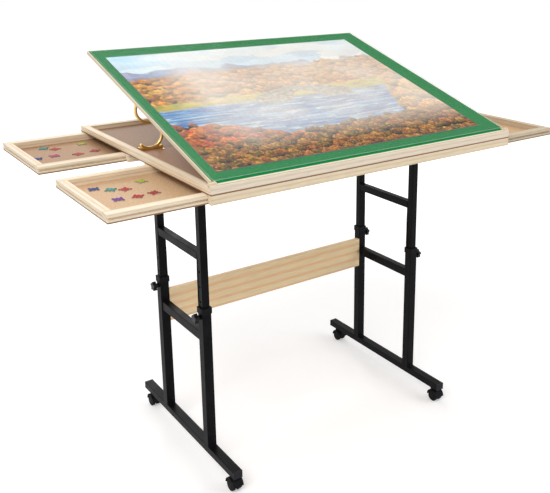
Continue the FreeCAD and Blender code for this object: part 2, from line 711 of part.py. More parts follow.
def make_casters(kit):
    """Four twin-wheel casters: a hood and web with the stem above, and two wheels fixed on one axle."""
    wheel_level = "{wheel_diameter} / 2"
    axle_y = "-{caster_trail}"
    width = "({wheel_spacing} + {wheel_width} + 2 * {hood_margin})"
    inside = "{wheel_diameter} / 2 + {hood_gap}"
    large = "2 * {wheel_diameter}"
    shell = kit.cylinder("hood_outside", inside + " + {hood_wall}", width,
                         (f"-{width} / 2", axle_y, wheel_level), Y_AXIS, "90")
    hollow = kit.cylinder("hood_inside", inside, f"2 * {width}",
                          (f"-{width}", axle_y, wheel_level), Y_AXIS, "90")
    below = kit.box("hood_below", (f"2 * {width}", f"2 * {large}", large),
                    (f"-{width}", f"-{large}", f"-{large} + {wheel_level}"))
    hood = kit.cut("hood_shell", shell, [hollow, below])
    web_disc = kit.cylinder("web_disc", inside + " + {hood_wall} / 2", "{web_width}",
                            ("-{web_width} / 2", axle_y, wheel_level), Y_AXIS, "90")
    web_end = wheel_level + " - {axle_diameter} * 1.4"
    web_low = kit.box("web_low", ("2 * {web_width}", f"2 * {large}", large),
                      ("-{web_width}", f"-{large}", f"-{large} + {web_end}"))
    web = kit.cut("web_plate", web_disc, [web_low])
    neck_level, stem_level = "{foot_level} * 2 / 3", "{foot_level} * 3 / 4"
    neck = kit.cylinder("stem_neck", "{stem_diameter}", "{foot_level} - " + neck_level,
                        ("0", "0", neck_level))
    stem = kit.cylinder("stem_rod", "{stem_diameter} / 2", "{foot_level} + {stem_height} - " + stem_level,
                        ("0", "0", stem_level))
    solid = kit.fuse("caster_solid", [hood, web, neck, stem])
    wheel_room = [
        kit.cylinder(f"wheel_room_{SIDE_NAMES[side]}", inside, "{wheel_spacing}",
                     (f"{side} * " + "({web_width} / 2 + {wheel_spacing} / 2) - {wheel_spacing} / 2",
                      axle_y, wheel_level), Y_AXIS, "90")
        for side in (LEFT, RIGHT)
    ]
    bore = kit.cylinder("axle_bore", "{axle_diameter} / 2 + {axle_play}", "4 * {web_width}",
                        ("-2 * {web_width}", axle_y, wheel_level), Y_AXIS, "90")
    housing = kit.cut("caster_housing", solid, wheel_room + [bore])

    wheel = kit.body("caster_wheel")
    section = kit.sketch(wheel, "XY", name="Section")
    polygon(section, [
        ("-{wheel_width} / 2", "{axle_diameter} / 2"), ("{wheel_width} / 2", "{axle_diameter} / 2"),
        ("{wheel_width} / 2", "{wheel_diameter} / 4"),
        ("{wheel_width} / 2 - {wheel_bevel}", "{wheel_diameter} / 4 + {wheel_bevel}"),
        ("{wheel_width} / 2 - {wheel_bevel}", "{wheel_diameter} / 2 - {wheel_rim} - {wheel_bevel}"),
        ("{wheel_width} / 2", "{wheel_diameter} / 2 - {wheel_rim}"),
        ("{wheel_width} / 2", "{wheel_diameter} / 2 - {wheel_bevel}"),
        ("{wheel_width} / 2 - {wheel_bevel}", "{wheel_diameter} / 2"),
        ("-{wheel_width} / 2 + {wheel_bevel}", "{wheel_diameter} / 2"),
        ("-{wheel_width} / 2", "{wheel_diameter} / 2 - {wheel_bevel}"),
    ])
    turn = wheel.newObject("PartDesign::Revolution", "caster_wheel_Turn")
    turn.Profile = section
    turn.ReferenceAxis = (section, ["H_Axis"])
    turn.Angle = 360
    wheel.Tip = turn
    length = "{wheel_spacing} + {wheel_width}"
    start = (f"-({length}) / 2", "0", "0")
    axle = kit.cylinder("caster_axle", "{axle_diameter} / 2", length, start, Y_AXIS, "90")
    right_wheel = copies(kit, "wheel_right", wheel, "{wheel_spacing} / 2", "0", "0")
    left_wheel = copies(kit, "wheel_left", wheel, "-{wheel_spacing} / 2", "0", "0", Z_AXIS, "180")
    wheels = kit.doc.addObject("Part::Compound", "wheel_pair")
    wheels.Links = [left_wheel, right_wheel, axle]
    for side, end, name in corners():
        x = f"{side} * " + "{frame_place}"
        y = f"{end} * " + STEM_Y
        kit.node(copies(kit, f"{name}_caster_housing", housing, x, y, "0"))
        kit.node(copies(kit, f"{name}_caster_wheels", wheels, x, f"{y} + {axle_y}", wheel_level))


# ---------------------------------------------------------------- wooden base and tray


def pilot_holes(kit, body, y, low):
    """Blind holes from below for the top bars' screws, in pairs."""
    holes = kit.sketch(body, "XY", low, "Pilots")
    for side in (LEFT, RIGHT):
        for across in (LEFT, RIGHT):
            x = f"{side} * " + "{frame_place}" + f" + {across} * " + "{bar_screw_spacing} / 2"
            circle(holes, "{wood_screw} / 2", x, y)
    kit.pocket(holes, "{wood_screw_length}", backwards=True)


def make_guides(kit):
    """Front and rear aprons and inner runners, each with a tongue that a drawer's groove slides on."""
    low, high = "-{tongue_height} / 2", "{tongue_height} / 2"
    bottom, top = "-{base_height} / 2", "{base_height} / 2"
    reach = "{cross_rail_width} / 2"
    for name, thickness, face in (
        ("apron", "{apron_thickness}", HALF_DEPTH + " - {apron_thickness}"),
        ("runner", "{runner_thickness}", "{runner_place}"),
    ):
        back = thickness if name == "apron" else f"-{thickness}"
        tongue = "-{tongue_depth}" if name == "apron" else "{tongue_depth}"
        master = strip(kit, name, "YZ", [
            (back, bottom), (back, top), ("0", top), ("0", high), (tongue, high),
            (tongue, low), ("0", low), ("0", bottom),
        ], "{table_width}")
        gap = kit.sketch(master, "XY", top, "TongueGap")
        far = tongue + (" - 1" if name == "apron" else " + 1")
        polygon(gap, [(f"-{reach}", "0"), (reach, "0"), (reach, far), (f"-{reach}", far)])
        kit.pocket(gap, "{base_height}")
        if name == "runner":
            lap = kit.sketch(master, "XY", top, "HalfLap")
            over = back + " - 1"
            polygon(lap, [(f"-{reach}", "1"), (reach, "1"), (reach, over), (f"-{reach}", over)])
            kit.pocket(lap, "{base_height} / 2")
            pilot_holes(kit, master, f"{back} / 2", bottom)
        middle = "{deck_height} + {base_height} / 2"
        for end in (FRONT, REAR):
            turn = "180" if end == FRONT else "0"
            y = f"{end} * ({face})"
            kit.node(copies(kit, f"{END_NAMES[end]}_{name}", master, "0", y, middle, Z_AXIS, turn))


def make_cross_rail(kit):
    """The cross rail that stops the drawers, half-lapped over the two runners."""
    end = "(" + HALF_DEPTH + " - {apron_thickness})"
    outer, inner = "{runner_place}", "({runner_place} - {runner_thickness})"
    lap, low, high = "{base_height} / 2", "0", "{base_height}"
    rail = strip(kit, "cross_rail", "YZ", [
        (f"-{end}", low), (f"-{outer}", low), (f"-{outer}", lap), (f"-{inner}", lap), (f"-{inner}", low),
        (inner, low), (inner, lap), (outer, lap), (outer, low), (end, low), (end, high), (f"-{end}", high),
    ], "{cross_rail_width}")
    place(rail, "0", "0", "{deck_height}")
    kit.node(rail)


def make_tray(kit):
    """The shallow tray: a floor of two panels, and on it a thin front lip and three rails."""
    lip = strip(kit, "tray_front_lip", "YZ", oblong("{lip_thickness}", "{lip_height}"), "{table_width}")
    kit.round_edges(lip, lambda edge: runs_along(X_AXIS)(edge) and edge.BoundBox.ZMin > 1, 1.0)
    place(lip, "0", "-" + HALF_DEPTH, FLOOR_TOP)
    kit.node(lip)

    section = oblong("{rail_width}", "{rail_height}")
    half_height = VALUE["rail_height"] / 2
    side_rail = strip(kit, "side_rail", "XZ", section, "{tray_depth} - {lip_thickness} - {rail_width}")
    lengthwise = runs_along(Y_AXIS)
    kit.round_edges(side_rail, lambda edge: lengthwise(edge) and edge.BoundBox.ZMin > half_height, 1.0)
    middle = "({lip_thickness} - {rail_width}) / 2"
    for side in (LEFT, RIGHT):
        x = f"{side} * " + HALF_WIDTH
        turn = "0" if side == LEFT else "180"
        kit.node(copies(kit, f"tray_{SIDE_NAMES[side]}_rail", side_rail, x, middle, FLOOR_TOP, Z_AXIS, turn))
    rear = strip(kit, "tray_rear_rail", "YZ", section, "{table_width}")
    place(rear, "0", HALF_DEPTH + " - {rail_width}", FLOOR_TOP)
    kit.node(rear)

    front, seam_front = "(-" + HALF_DEPTH + ")", "({seam_place} - {seam_gap} / 2)"
    seam_back, back = "({seam_place} + {seam_gap} / 2)", HALF_DEPTH
    for name, start, stop in (("front", front, seam_front), ("rear", seam_back, back)):
        panel = kit.box(f"tray_{name}_floor", ("{table_width}", f"{stop} - {start}", "{panel_thickness}"),
                        ("-" + HALF_WIDTH, start, BASE_TOP))
        kit.node(panel)


def make_pivots(kit):
    """The blocks on the side rails and the pins that carry the board's front edge."""
    blocks, pins = [], []
    for side in (LEFT, RIGHT):
        name = SIDE_NAMES[side]
        block = kit.body("pivot_block_" + name)
        profile = kit.sketch(block, "YZ", name="Profile")
        front = "-{lip_clear} - " + BOARD_RADIUS
        top = "{block_height} - {board_clear} - " + BOARD_RADIUS
        low, back = "-{board_clear} - " + BOARD_RADIUS, front + " + {block_depth}"
        slope = back + " - {block_depth} * 0.3"
        bend = "{pin_diameter} / 2"
        polygon(profile, [(front, low), (back, low), (back, bend), (slope, top), (front, top)])
        circle(profile, "{pin_diameter} / 2")
        kit.pad(profile, "{block_length}", backwards=side == RIGHT)
        place(block, f"{side} * " + HALF_WIDTH, PIVOT_Y, PIVOT_Z)
        blocks.append(block)
        start = "-" + HALF_WIDTH if side == LEFT else HALF_WIDTH + " - {pin_length}"
        pins.append(kit.cylinder("pivot_pin_" + name, "{pin_diameter} / 2", "{pin_length}",
                                 (start, PIVOT_Y, PIVOT_Z), Y_AXIS, "90"))
    kit.group("pivot_blocks", blocks)
    kit.group("pivot_pins", pins)


# ---------------------------------------------------------------- tilting board


def tilted(obj):
    """Puts a piece that is drawn flat, about the pivot's axis, on the tilted board."""
    place(obj, "0", PIVOT_Y, PIVOT_Z, X_AXIS, "{board_tilt}")


def make_board(kit):
    """The plywood board: a rounded front edge that turns behind the lip, notches and bores for the pivots."""
    rear = "({board_depth} - " + BOARD_RADIUS + ")"
    notch_side = "(" + HALF_WIDTH + " - {block_length} - {block_clear})"
    notch_back = "({block_depth} + {notch_clear} - {lip_clear} - " + BOARD_RADIUS + ")"
    board = kit.body("board_panel")
    edge = kit.sketch(board, "YZ", name="RoundedEdge")
    circle(edge, BOARD_RADIUS)
    kit.pad(edge, "{board_width}", both_ways=True)
    flat = kit.sketch(board, "YZ", name="Flat")
    polygon(flat, oblong(rear, BOARD_RADIUS, "-" + BOARD_RADIUS))
    kit.pad(flat, "{board_width}", both_ways=True)
    for side in (LEFT, RIGHT):
        name = SIDE_NAMES[side].capitalize()
        inner, outer = f"{side} * {notch_side}", f"{side} * (" + HALF_BOARD + " + {block_clear})"
        notch = kit.sketch(board, "XY", name=name + "Notch")
        polygon(notch, [(inner, "-{board_thickness}"), (outer, "-{board_thickness}"), (outer, notch_back),
                        (inner, notch_back)])
        kit.pocket(notch, "2 * {board_thickness}", both_ways=True)
        bore = kit.sketch(board, "YZ", f"{side} * {notch_side}", name + "Bore")
        circle(bore, "{pin_diameter} / 2 + {pin_play}")
        kit.pocket(bore, "{pin_length} - {block_length}", backwards=side == LEFT)
    tilted(board)
    kit.node(board)

    felt = kit.body("board_felt")
    half = "(" + HALF_BOARD + " - {felt_margin})"
    start = "0"
    sheet = kit.sketch(felt, "XY", BOARD_RADIUS, "Sheet")
    back = f"{rear} - " + "{felt_margin}"
    inner = f"({notch_side} - " + "{felt_margin})"
    polygon(sheet, [
        (f"-{inner}", start), (inner, start), (inner, notch_back), (half, notch_back), (half, back),
        (f"-{half}", back), (f"-{half}", notch_back), (f"-{inner}", notch_back),
    ])
    kit.pad(sheet, "{felt_thickness}")
    tilted(felt)
    kit.node(felt)


def make_puzzle_and_cover(kit):
    """The finished puzzle on the felt, and the clear sheet over it."""
    puzzle = kit.body("finished_puzzle")
    outline = kit.sketch(puzzle, "XY", BOARD_RADIUS + " + {felt_thickness}", "Outline")
    middle = "{puzzle_front} - " + BOARD_RADIUS + " + {puzzle_depth} / 2"
    rectangle(outline, "{puzzle_width}", "{puzzle_depth}", "{puzzle_shift}", middle)
    kit.pad(outline, "{puzzle_thickness}")
    tilted(puzzle)
    kit.node(puzzle)

    cover = kit.body("clear_cover")
    lift = BOARD_RADIUS + " + {felt_thickness} + {puzzle_thickness} + {cover_gap}"
    sheet = kit.sketch(cover, "XY", lift, "Sheet")
    middle = "{cover_front} - " + BOARD_RADIUS + " + {cover_depth} / 2"
    rectangle(sheet, "{cover_width}", "{cover_depth}", "0", middle)
    kit.pad(sheet, "{cover_thickness}")
    kit.round_edges(cover, runs_along(Z_AXIS), VALUE["cover_corner"], "Corners")
    tilted(cover)
    kit.node(cover)


# ---------------------------------------------------------------- props


def prop_bowl(kit, label, start, centre_height):
    """One bowl of the S: a bent rod's arc in the upright plane, from a start angle."""
    sweep = 226
    bowl = kit.doc.addObject("Part::Torus", label)
    bowl.Label = label
    bind(bowl, "Radius1", PROP_RADIUS + " * 1 mm")
    bind(bowl, "Radius2", "{prop_rod} / 2 * 1 mm")
    bowl.Angle3 = sweep
    bowl.Placement = Placement(Vector(0, 0, 0), Rotation(X_AXIS, 90).multiply(Rotation(Z_AXIS, start)))
    bind(bowl, "Placement.Base.z", f"({centre_height}) * 1 mm")
    return bowl


def prop_tip(kit, label, angle, centre_height):
    """The rounded end of the rod, at an angle of its bowl."""
    tip = kit.doc.addObject("Part::Sphere", label)
    tip.Label = label
    bind(tip, "Radius", "{prop_rod} / 2 * 1 mm")
    x = f"{PROP_RADIUS} * cos({angle} * 1 deg)"
    z = f"{centre_height} + {PROP_RADIUS} * sin({angle} * 1 deg)"
    place(tip, x, "0", z)
    return tip


def make_props(kit):
    """Two props bent from rod into an S, on a straight foot that turns in two strap clips on the floor."""
    low_tip, high_tip = 224, 44
    low_centre, high_centre = PROP_RADIUS, "3 * " + PROP_RADIUS
    foot_start = ("-{prop_foot} / 2", "0", "0")
    master = kit.fuse("prop", [
        prop_bowl(kit, "low_bowl", low_tip, low_centre),
        prop_bowl(kit, "high_bowl", high_tip, high_centre),
        prop_tip(kit, "low_tip", low_tip, low_centre),
        prop_tip(kit, "high_tip", high_tip, high_centre),
        kit.cylinder("prop_foot_rod", "{prop_rod} / 2", "{prop_foot}", foot_start, Y_AXIS, "90"),
    ])
    clip = make_clip(kit)
    clips = []
    for side in (LEFT, RIGHT):
        name = SIDE_NAMES[side]
        x = f"{side} * " + "{prop_place}"
        kit.node(copies(kit, f"{name}_prop", master, x, "{seam_place}", PROP_AXIS_Z))
        for offset in (LEFT, RIGHT):
            clip_x = f"{x} + {offset} * (" + "{prop_foot} - {clip_width}) / 2"
            clip_name = f"clip_{name}_{SIDE_NAMES[offset]}"
            clips.append(copies(kit, clip_name, clip, clip_x, "{seam_place}", PROP_AXIS_Z))
    kit.group("prop_clips", clips)


def make_clip(kit):
    """A strap clip over the prop's foot, with one ear in front, so that the prop can lie down to the rear."""
    inside = "{prop_rod} / 2 + {clip_play}"
    outside = inside + " + {clip_wall}"
    base = "{prop_rod} / 2 + {prop_clear}"
    arch = kit.cylinder("clip_arch", outside, "{clip_width}", ("-{clip_width} / 2", "0", "0"), Y_AXIS, "90")
    legs = kit.box("clip_legs", ("{clip_width}", f"2 * ({outside})", base),
                   ("-{clip_width} / 2", f"-({outside})", f"-({base})"))
    ear = kit.box("clip_ear_plate", ("{clip_width}", "{clip_ear} + {clip_wall}", "{clip_wall}"),
                  ("-{clip_width} / 2", f"-({outside}) - " + "{clip_ear}", f"-({base})"))
    bore = kit.cylinder("clip_bore", inside, "2 * {clip_width}", ("-{clip_width}", "0", "0"), Y_AXIS, "90")
    room = kit.box("clip_room", ("2 * {clip_width}", f"2 * ({inside})", f"{base} + 1"),
                   ("-{clip_width}", f"-({inside})", f"-({base}) - 1"))
    below = kit.box("clip_below", ("2 * {clip_width}", "4 * {clip_ear}", "{prop_rod}"),
                    ("-{clip_width}", "-2 * {clip_ear}", f"-({base}) - " + "{prop_rod}"))
    return kit.cut("clip", kit.fuse("clip_blank", [arch, legs, ear]), [bore, room, below])


# ---------------------------------------------------------------- drawers


def make_drawers(kit):
    """Four alike drawers: grooved side rails, end rails between them and a hardboard floor beneath."""
    half = DRAWER_WIDTH + " / 2"
    low = DRAWER_HEIGHT + " / 2 - {tongue_height} / 2 - {groove_play}"
    high = DRAWER_HEIGHT + " / 2 + {tongue_height} / 2 + {groove_play}"
    deep = "{tongue_depth} - {drawer_gap} + {groove_play}"
    side_section = oblong("{drawer_side}", DRAWER_HEIGHT, "{panel_thickness}")
    groove = [("0", high), (deep, high), (deep, low), ("0", low)]
    side_rail = strip(kit, "drawer_side_rail", "YZ", side_section + groove, "{drawer_length}")
    upper = VALUE["base_height"] * 0.8
    kit.round_edges(side_rail, lambda edge: runs_along(X_AXIS)(edge) and edge.BoundBox.ZMin > upper, 1.0)
    sides = [
        copies(kit, "drawer_front_side", side_rail, "0", f"-({half})", "0"),
        copies(kit, "drawer_rear_side", side_rail, "0", half, "0", Z_AXIS, "180"),
    ]

    width = "(" + DRAWER_WIDTH + " - 2 * {drawer_side})"
    end_section = oblong("{drawer_end}", DRAWER_HEIGHT, "{panel_thickness}")
    line_top, line_low = "{base_height} / 2 + {pull_groove} / 2", "{base_height} / 2 - {pull_groove} / 2"
    pull_line = [("0", line_top), ("{pull_groove}", line_top), ("{pull_groove}", line_low), ("0", line_low)]
    outer_end = strip(kit, "drawer_outer_end", "XZ", end_section + pull_line, width)
    inner_end = strip(kit, "drawer_inner_end", "XZ", end_section, width)
    place(outer_end, "-{drawer_length} / 2")
    place(inner_end, "{drawer_length} / 2", axis=Z_AXIS, angle="180")
    rails = kit.doc.addObject("Part::Compound", "drawer_rails")
    rails.Links = sides + [outer_end, inner_end]
    floor = kit.box("drawer_floor", ("{drawer_length}", DRAWER_WIDTH, "{panel_thickness}"),
                    ("-{drawer_length} / 2", f"-({half})", "0"))
    for side, end, name in corners():
        x = f"{side} * (" + DRAWER_OUTER[side] + " - {drawer_length} / 2)"
        y = f"{end} * (" + DRAWER_BACK + " + " + half + ")"
        turn = "0" if side == LEFT else "180"
        level = "{deck_height} + {level_gap}"
        kit.node(copies(kit, f"{name}_drawer_rails", rails, x, y, level, Z_AXIS, turn))
        kit.node(copies(kit, f"{name}_drawer_floor", floor, x, y, level, Z_AXIS, turn))


# Where loose pieces lie in the left drawers: right of and behind the drawer's middle in piece sizes, and
# their turn.
LOOSE_PIECES = {
    REAR: [(-6.9, 4.5, 20), (-5.7, 3.3, 75), (-7.0, -0.5, 140), (-9.3, -0.8, 205), (-4.1, -1.3, 250),
           (-1.7, 4.1, 310), (-1.6, -0.9, 5)],
    FRONT: [(-8.3, 4.0, 35), (-6.8, 2.7, 100), (-5.4, 1.9, 160), (-7.5, -1.3, 220), (-5.3, -1.5, 280),
            (-2.6, 3.9, 330), (-3.3, -1.3, 60)],
}


def make_loose_pieces(kit):
    """Loose jigsaw pieces on the floors of the left drawers: a square with two tabs and two blanks."""
    half, tab, reach = "{piece_size} / 2", "{piece_tab}", "({piece_size} / 2 + {piece_tab} * 0.6)"
    bite = "({piece_size} / 2 - {piece_tab} * 0.6)"
    thick = "{puzzle_thickness}"
    square = kit.box("piece_square", ("{piece_size}", "{piece_size}", thick), (f"-{half}", f"-{half}", "0"))
    tabs = [
        kit.cylinder("piece_tab_left", tab, thick, (f"-{reach}", "0", "0")),
        kit.cylinder("piece_tab_right", tab, thick, (reach, "0", "0")),
    ]
    blanks = [
        kit.cylinder("piece_blank_front", tab, thick, ("0", f"-{bite}", "0")),
        kit.cylinder("piece_blank_rear", tab, thick, ("0", bite, "0")),
    ]
    piece = kit.cut("loose_piece", kit.fuse("piece_with_tabs", [square] + tabs), blanks)
    level = "{deck_height} + {level_gap} + {panel_thickness}"
    x_middle = "-(" + DRAWER_OUTER[LEFT] + " - {drawer_length} / 2)"
    for end, spots in LOOSE_PIECES.items():
        y_middle = f"{end} * (" + DRAWER_BACK + " + " + DRAWER_WIDTH + " / 2)"
        members = []
        for number, (right, behind, turn) in enumerate(spots):
            x = f"{x_middle} + {right} * " + "{piece_size}"
            y = f"{y_middle} + {behind} * " + "{piece_size}"
            name = f"piece_{END_NAMES[end]}_{number}"
            members.append(copies(kit, name, piece, x, y, level, Z_AXIS, str(turn)))
        kit.group(f"{END_NAMES[end]}_loose_pieces", members)


# ---------------------------------------------------------------- whole table


def check(doc, kit):
    """Stops if any object failed to build, or a node's shape is missing or not valid."""
    failed = [obj.Name for obj in doc.Objects if {"Invalid", "Error"} & set(obj.State)]
    if failed:
        raise RuntimeError("not built: " + ", ".join(failed))
    bad = [label for label, obj in kit.nodes.items() if obj.Shape.isNull() or not obj.Shape.isValid()]
    if bad:
        raise RuntimeError("not valid: " + ", ".join(bad))
    empty = [label for label, obj in kit.nodes.items() if not obj.Shape.Solids]
    if empty:
        raise RuntimeError("no solid in: " + ", ".join(empty))


def main():
    """Builds the table and writes one STEP file for each node."""
    doc = FreeCAD.newDocument("PuzzleTable")
    make_sheet(doc)
    kit = Kit(doc)
    for make in (
        make_floor_bars, make_outer_posts, make_crossbars, make_collars, make_clamp_knobs, make_upper_frames,
        make_bar_screws, make_stretcher, make_casters, make_guides, make_cross_rail, make_tray, make_pivots,
        make_board, make_puzzle_and_cover, make_props, make_drawers, make_loose_pieces,
    ):
        make(kit)
    doc.recompute()
    check(doc, kit)
    os.makedirs("parts", exist_ok=True)
    for label, obj in kit.nodes.items():
        obj.Shape.exportStep(f"parts/{label}.step")
    print(len(kit.nodes), "nodes")


main()
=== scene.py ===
"""Looks of the jigsaw puzzle table: steel legs, pine drawers and tray, felt board, puzzle and cover."""

import json
import logging
import math
from collections.abc import Sequence
from dataclasses import dataclass
from enum import Enum
from functools import lru_cache

import bpy
import numpy as np
from mathutils import Matrix, Vector


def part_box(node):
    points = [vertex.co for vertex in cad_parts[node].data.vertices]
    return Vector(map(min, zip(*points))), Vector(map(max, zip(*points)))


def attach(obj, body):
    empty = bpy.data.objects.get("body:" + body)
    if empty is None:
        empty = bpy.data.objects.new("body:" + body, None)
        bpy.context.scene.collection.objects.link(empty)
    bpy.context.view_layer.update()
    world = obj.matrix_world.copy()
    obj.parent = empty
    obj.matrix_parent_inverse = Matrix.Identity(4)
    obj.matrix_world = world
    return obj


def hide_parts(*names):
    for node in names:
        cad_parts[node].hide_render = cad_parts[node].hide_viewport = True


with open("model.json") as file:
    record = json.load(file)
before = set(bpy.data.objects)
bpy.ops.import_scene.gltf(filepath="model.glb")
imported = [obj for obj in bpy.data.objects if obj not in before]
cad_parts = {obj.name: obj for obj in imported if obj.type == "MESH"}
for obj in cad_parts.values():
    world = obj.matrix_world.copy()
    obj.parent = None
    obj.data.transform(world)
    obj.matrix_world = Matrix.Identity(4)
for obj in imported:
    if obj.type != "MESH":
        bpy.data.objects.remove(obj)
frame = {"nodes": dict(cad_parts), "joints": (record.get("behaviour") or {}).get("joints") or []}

LOG = logging.getLogger("puzzle_table")
MM = 0.001
# Levels, and points, are the same where they agree to so many decimals of a metre.
LEVEL_DECIMALS, POINT_DECIMALS = 5, 6
# A direction is upright, rather than level, where its z is more than this.
UPRIGHT = 0.5
CORNERS = ("left_front", "left_rear", "right_front", "right_rear")
SIDES = ("left", "right")
FRAME_WIDTH, FRAME_HEIGHT = 550, 493

Triple = tuple[float, float, float]
Colour = tuple[float, float, float, float]
Faces = list[list[int]]
Tree, Node, Socket = bpy.types.NodeTree, bpy.types.Node, bpy.types.NodeSocket
Inputs = dict[str | int, object]
Stops = Sequence[tuple[float, str | float]]


class Axis(Enum):
    """An axis of the table's frame, as its place in a triple."""

    X = 0
    Y = 1
    Z = 2


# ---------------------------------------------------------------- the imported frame


def joint(name: str) -> dict:
    """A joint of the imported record, by its name."""
    return next(entry for entry in frame["joints"] if entry["name"] == name)


def node_points(node: str) -> np.ndarray:
    """The vertices of a CAD node.

    Args:
        node: the node's name.

    Returns:
        An array of points in metres, one row each.
    """
    mesh = frame["nodes"][node].data
    points = np.empty(len(mesh.vertices) * 3)
    mesh.vertices.foreach_get("co", points)
    return points.reshape(-1, 3)


@dataclass(frozen=True)
class BoardSpace:
    """The tilted board's own space: x to the right, y from the pivot axis up the board, z out of it.

    `pivot` is a point of the pivot axis in metres, and `tilt` is the board's slope in radians.
    """

    pivot: Triple
    tilt: float

    @classmethod
    def from_frame(cls) -> "BoardSpace":
        """Reads the pivot and the tilt from the joints of the board and of its cover."""
        _, back, up = joint("cover_lift")["axis"]
        return cls(tuple(joint("board_tilt")["pos_m"]), math.atan2(-back, up))

    def turn(self) -> np.ndarray:
        """The rotation from board space to the table's frame."""
        cosine, sine = math.cos(self.tilt), math.sin(self.tilt)
        return np.array([[1, 0, 0], [0, cosine, -sine], [0, sine, cosine]])

    def place(self, points: np.ndarray) -> np.ndarray:
        """Puts points of board space into the table's frame: turns them by the tilt, and adds the pivot."""
        return points @ self.turn().T + np.array(self.pivot)

    def levels(self, node: str, axis: Axis) -> np.ndarray:
        """The different values that a node's vertices have along one axis of board space, lowest first."""
        local = (node_points(node) - np.array(self.pivot)) @ self.turn()
        return np.unique(np.round(local[:, axis.value], LEVEL_DECIMALS))


# ---------------------------------------------------------------- shader nodes and finishes


def linear(code: str) -> Colour:
    """Turns an sRGB hex colour into linear light.

    Args:
        code: the colour, such as "#1E9650".

    Returns:
        Red, green, blue and a full alpha.
    """
    channels = [int(code[i : i + 2], 16) / 255 for i in (1, 3, 5)]
    return (*(c / 12.92 if c <= 0.04045 else ((c + 0.055) / 1.055) ** 2.4 for c in channels), 1.0)


def grey(value: float) -> Colour:
    """A grey of one linear value."""
    return (value, value, value, 1.0)


def per(size: float) -> float:
    """How often a pattern repeats in a metre, when its repeat is so many millimetres."""
    return 1 / (size * MM)


def add_node(
    tree: Tree, kind: str, inputs: Inputs | None = None, stops: Stops = (), **settings: object
) -> Node:
    """Adds one shader node.

    Args:
        tree: the node tree of a material or of the world.
        kind: the identifier of the node's type.
        inputs: for each input, by name or number, a value, a socket or a node. A node stands for its first
            open output.
        stops: positions and colours, for a colour ramp. A number stands for a grey.
        settings: the node's own properties.

    Returns:
        The new node.
    """
    node = tree.nodes.new(kind)
    for name, value in settings.items():
        setattr(node, name, value)
    for name, value in (inputs or {}).items():
        if isinstance(value, Node):
            value = next(socket for socket in value.outputs if socket.enabled)
        if isinstance(value, Socket):
            tree.links.new(value, node.inputs[name])
        else:
            node.inputs[name].default_value = value
    for number, (position, colour) in enumerate(stops):
        ramp = node.color_ramp.elements
        stop = ramp[number] if number < 2 else ramp.new(position)
        stop.position = position
        stop.color = linear(colour) if isinstance(colour, str) else grey(colour)
    return node


# Numbers of a mix node's inputs, for colours and for vectors.
MIX_FACTOR, MIX_A, MIX_B = 0, 6, 7
MIX_VECTOR_A, MIX_VECTOR_B = 4, 5
# The attribute that holds the printed colour of a loose piece.
PRINT_COLOUR = "print_colour"
# Wave textures repeat every 2 pi / 20 units at a scale of 1.
WAVE_PERIOD = 2 * math.pi / 20
# Nearly all of a noise lies between these two values.
LOW, HIGH = 0.3, 0.7


@dataclass(frozen=True)
class Finish:
    """A surface finish: its name, and what goes into the shader to show it.

    Every finish has its pattern sizes and its relief's depth in millimetres.
    """

    title: str

    def shade(self, tree: Tree, space: Socket) -> Inputs:
        """Adds this finish's nodes to a tree.

        Args:
            tree: the material's node tree.
            space: object space, in metres.

        Returns:
            What goes into each input of the shader.
        """
        raise NotImplementedError


@lru_cache(maxsize=None)
def material(finish: Finish) -> bpy.types.Material:
    """Makes a finish into a material, once.

    Args:
        finish: the finish.

    Returns:
        Its material.
    """
    made = bpy.data.materials.new(finish.title)
    made.use_nodes = True
    tree = made.node_tree
    tree.nodes.clear()
    space = add_node(tree, "ShaderNodeTexCoord").outputs["Object"]
    shader = add_node(tree, "ShaderNodeBsdfPrincipled", finish.shade(tree, space))
    add_node(tree, "ShaderNodeOutputMaterial", {"Surface": shader})
    return made


@dataclass(frozen=True)
class PowderCoat(Finish):
    """Powder coat on steel tube, baked: the satin near-black of melted powder, with its orange peel."""

    dark: str = "#0C0C0E"
    light: str = "#151518"
    # The dimples are really about 0.8 mm wide, and are drawn twice as coarse to show.
    peel: float = 1.6
    depth: float = 0.03
    cloud: float = 45.0
    smooth: float = 0.34
    rough: float = 0.46
    shine: float = 0.06

    def shade(self, tree: Tree, space: Socket) -> Inputs:
        """Cloudy near-black, a satin gloss that wanders with it, and the peel as relief.

        Args:
            tree: the material's node tree.
            space: object space, in metres.

        Returns:
            What goes into each input of the shader.
        """
        clouds = add_node(
            tree, "ShaderNodeTexNoise", {"Vector": space, "Scale": per(self.cloud), "Detail": 3.0}
        )
        peel = add_node(tree, "ShaderNodeTexNoise", {"Vector": space, "Scale": per(self.peel), "Detail": 1.0})
        return {
            "Base Color": add_node(
                tree, "ShaderNodeValToRGB", {0: clouds}, [(0.35, self.dark), (0.7, self.light)]
            ),
            "Roughness": add_node(
                tree, "ShaderNodeValToRGB", {0: clouds}, [(LOW, self.smooth), (HIGH, self.rough)]
            ),
            "Specular IOR Level": self.shine,
            "Normal": add_node(tree, "ShaderNodeBump", {"Height": peel, "Distance": self.depth * MM}),
        }


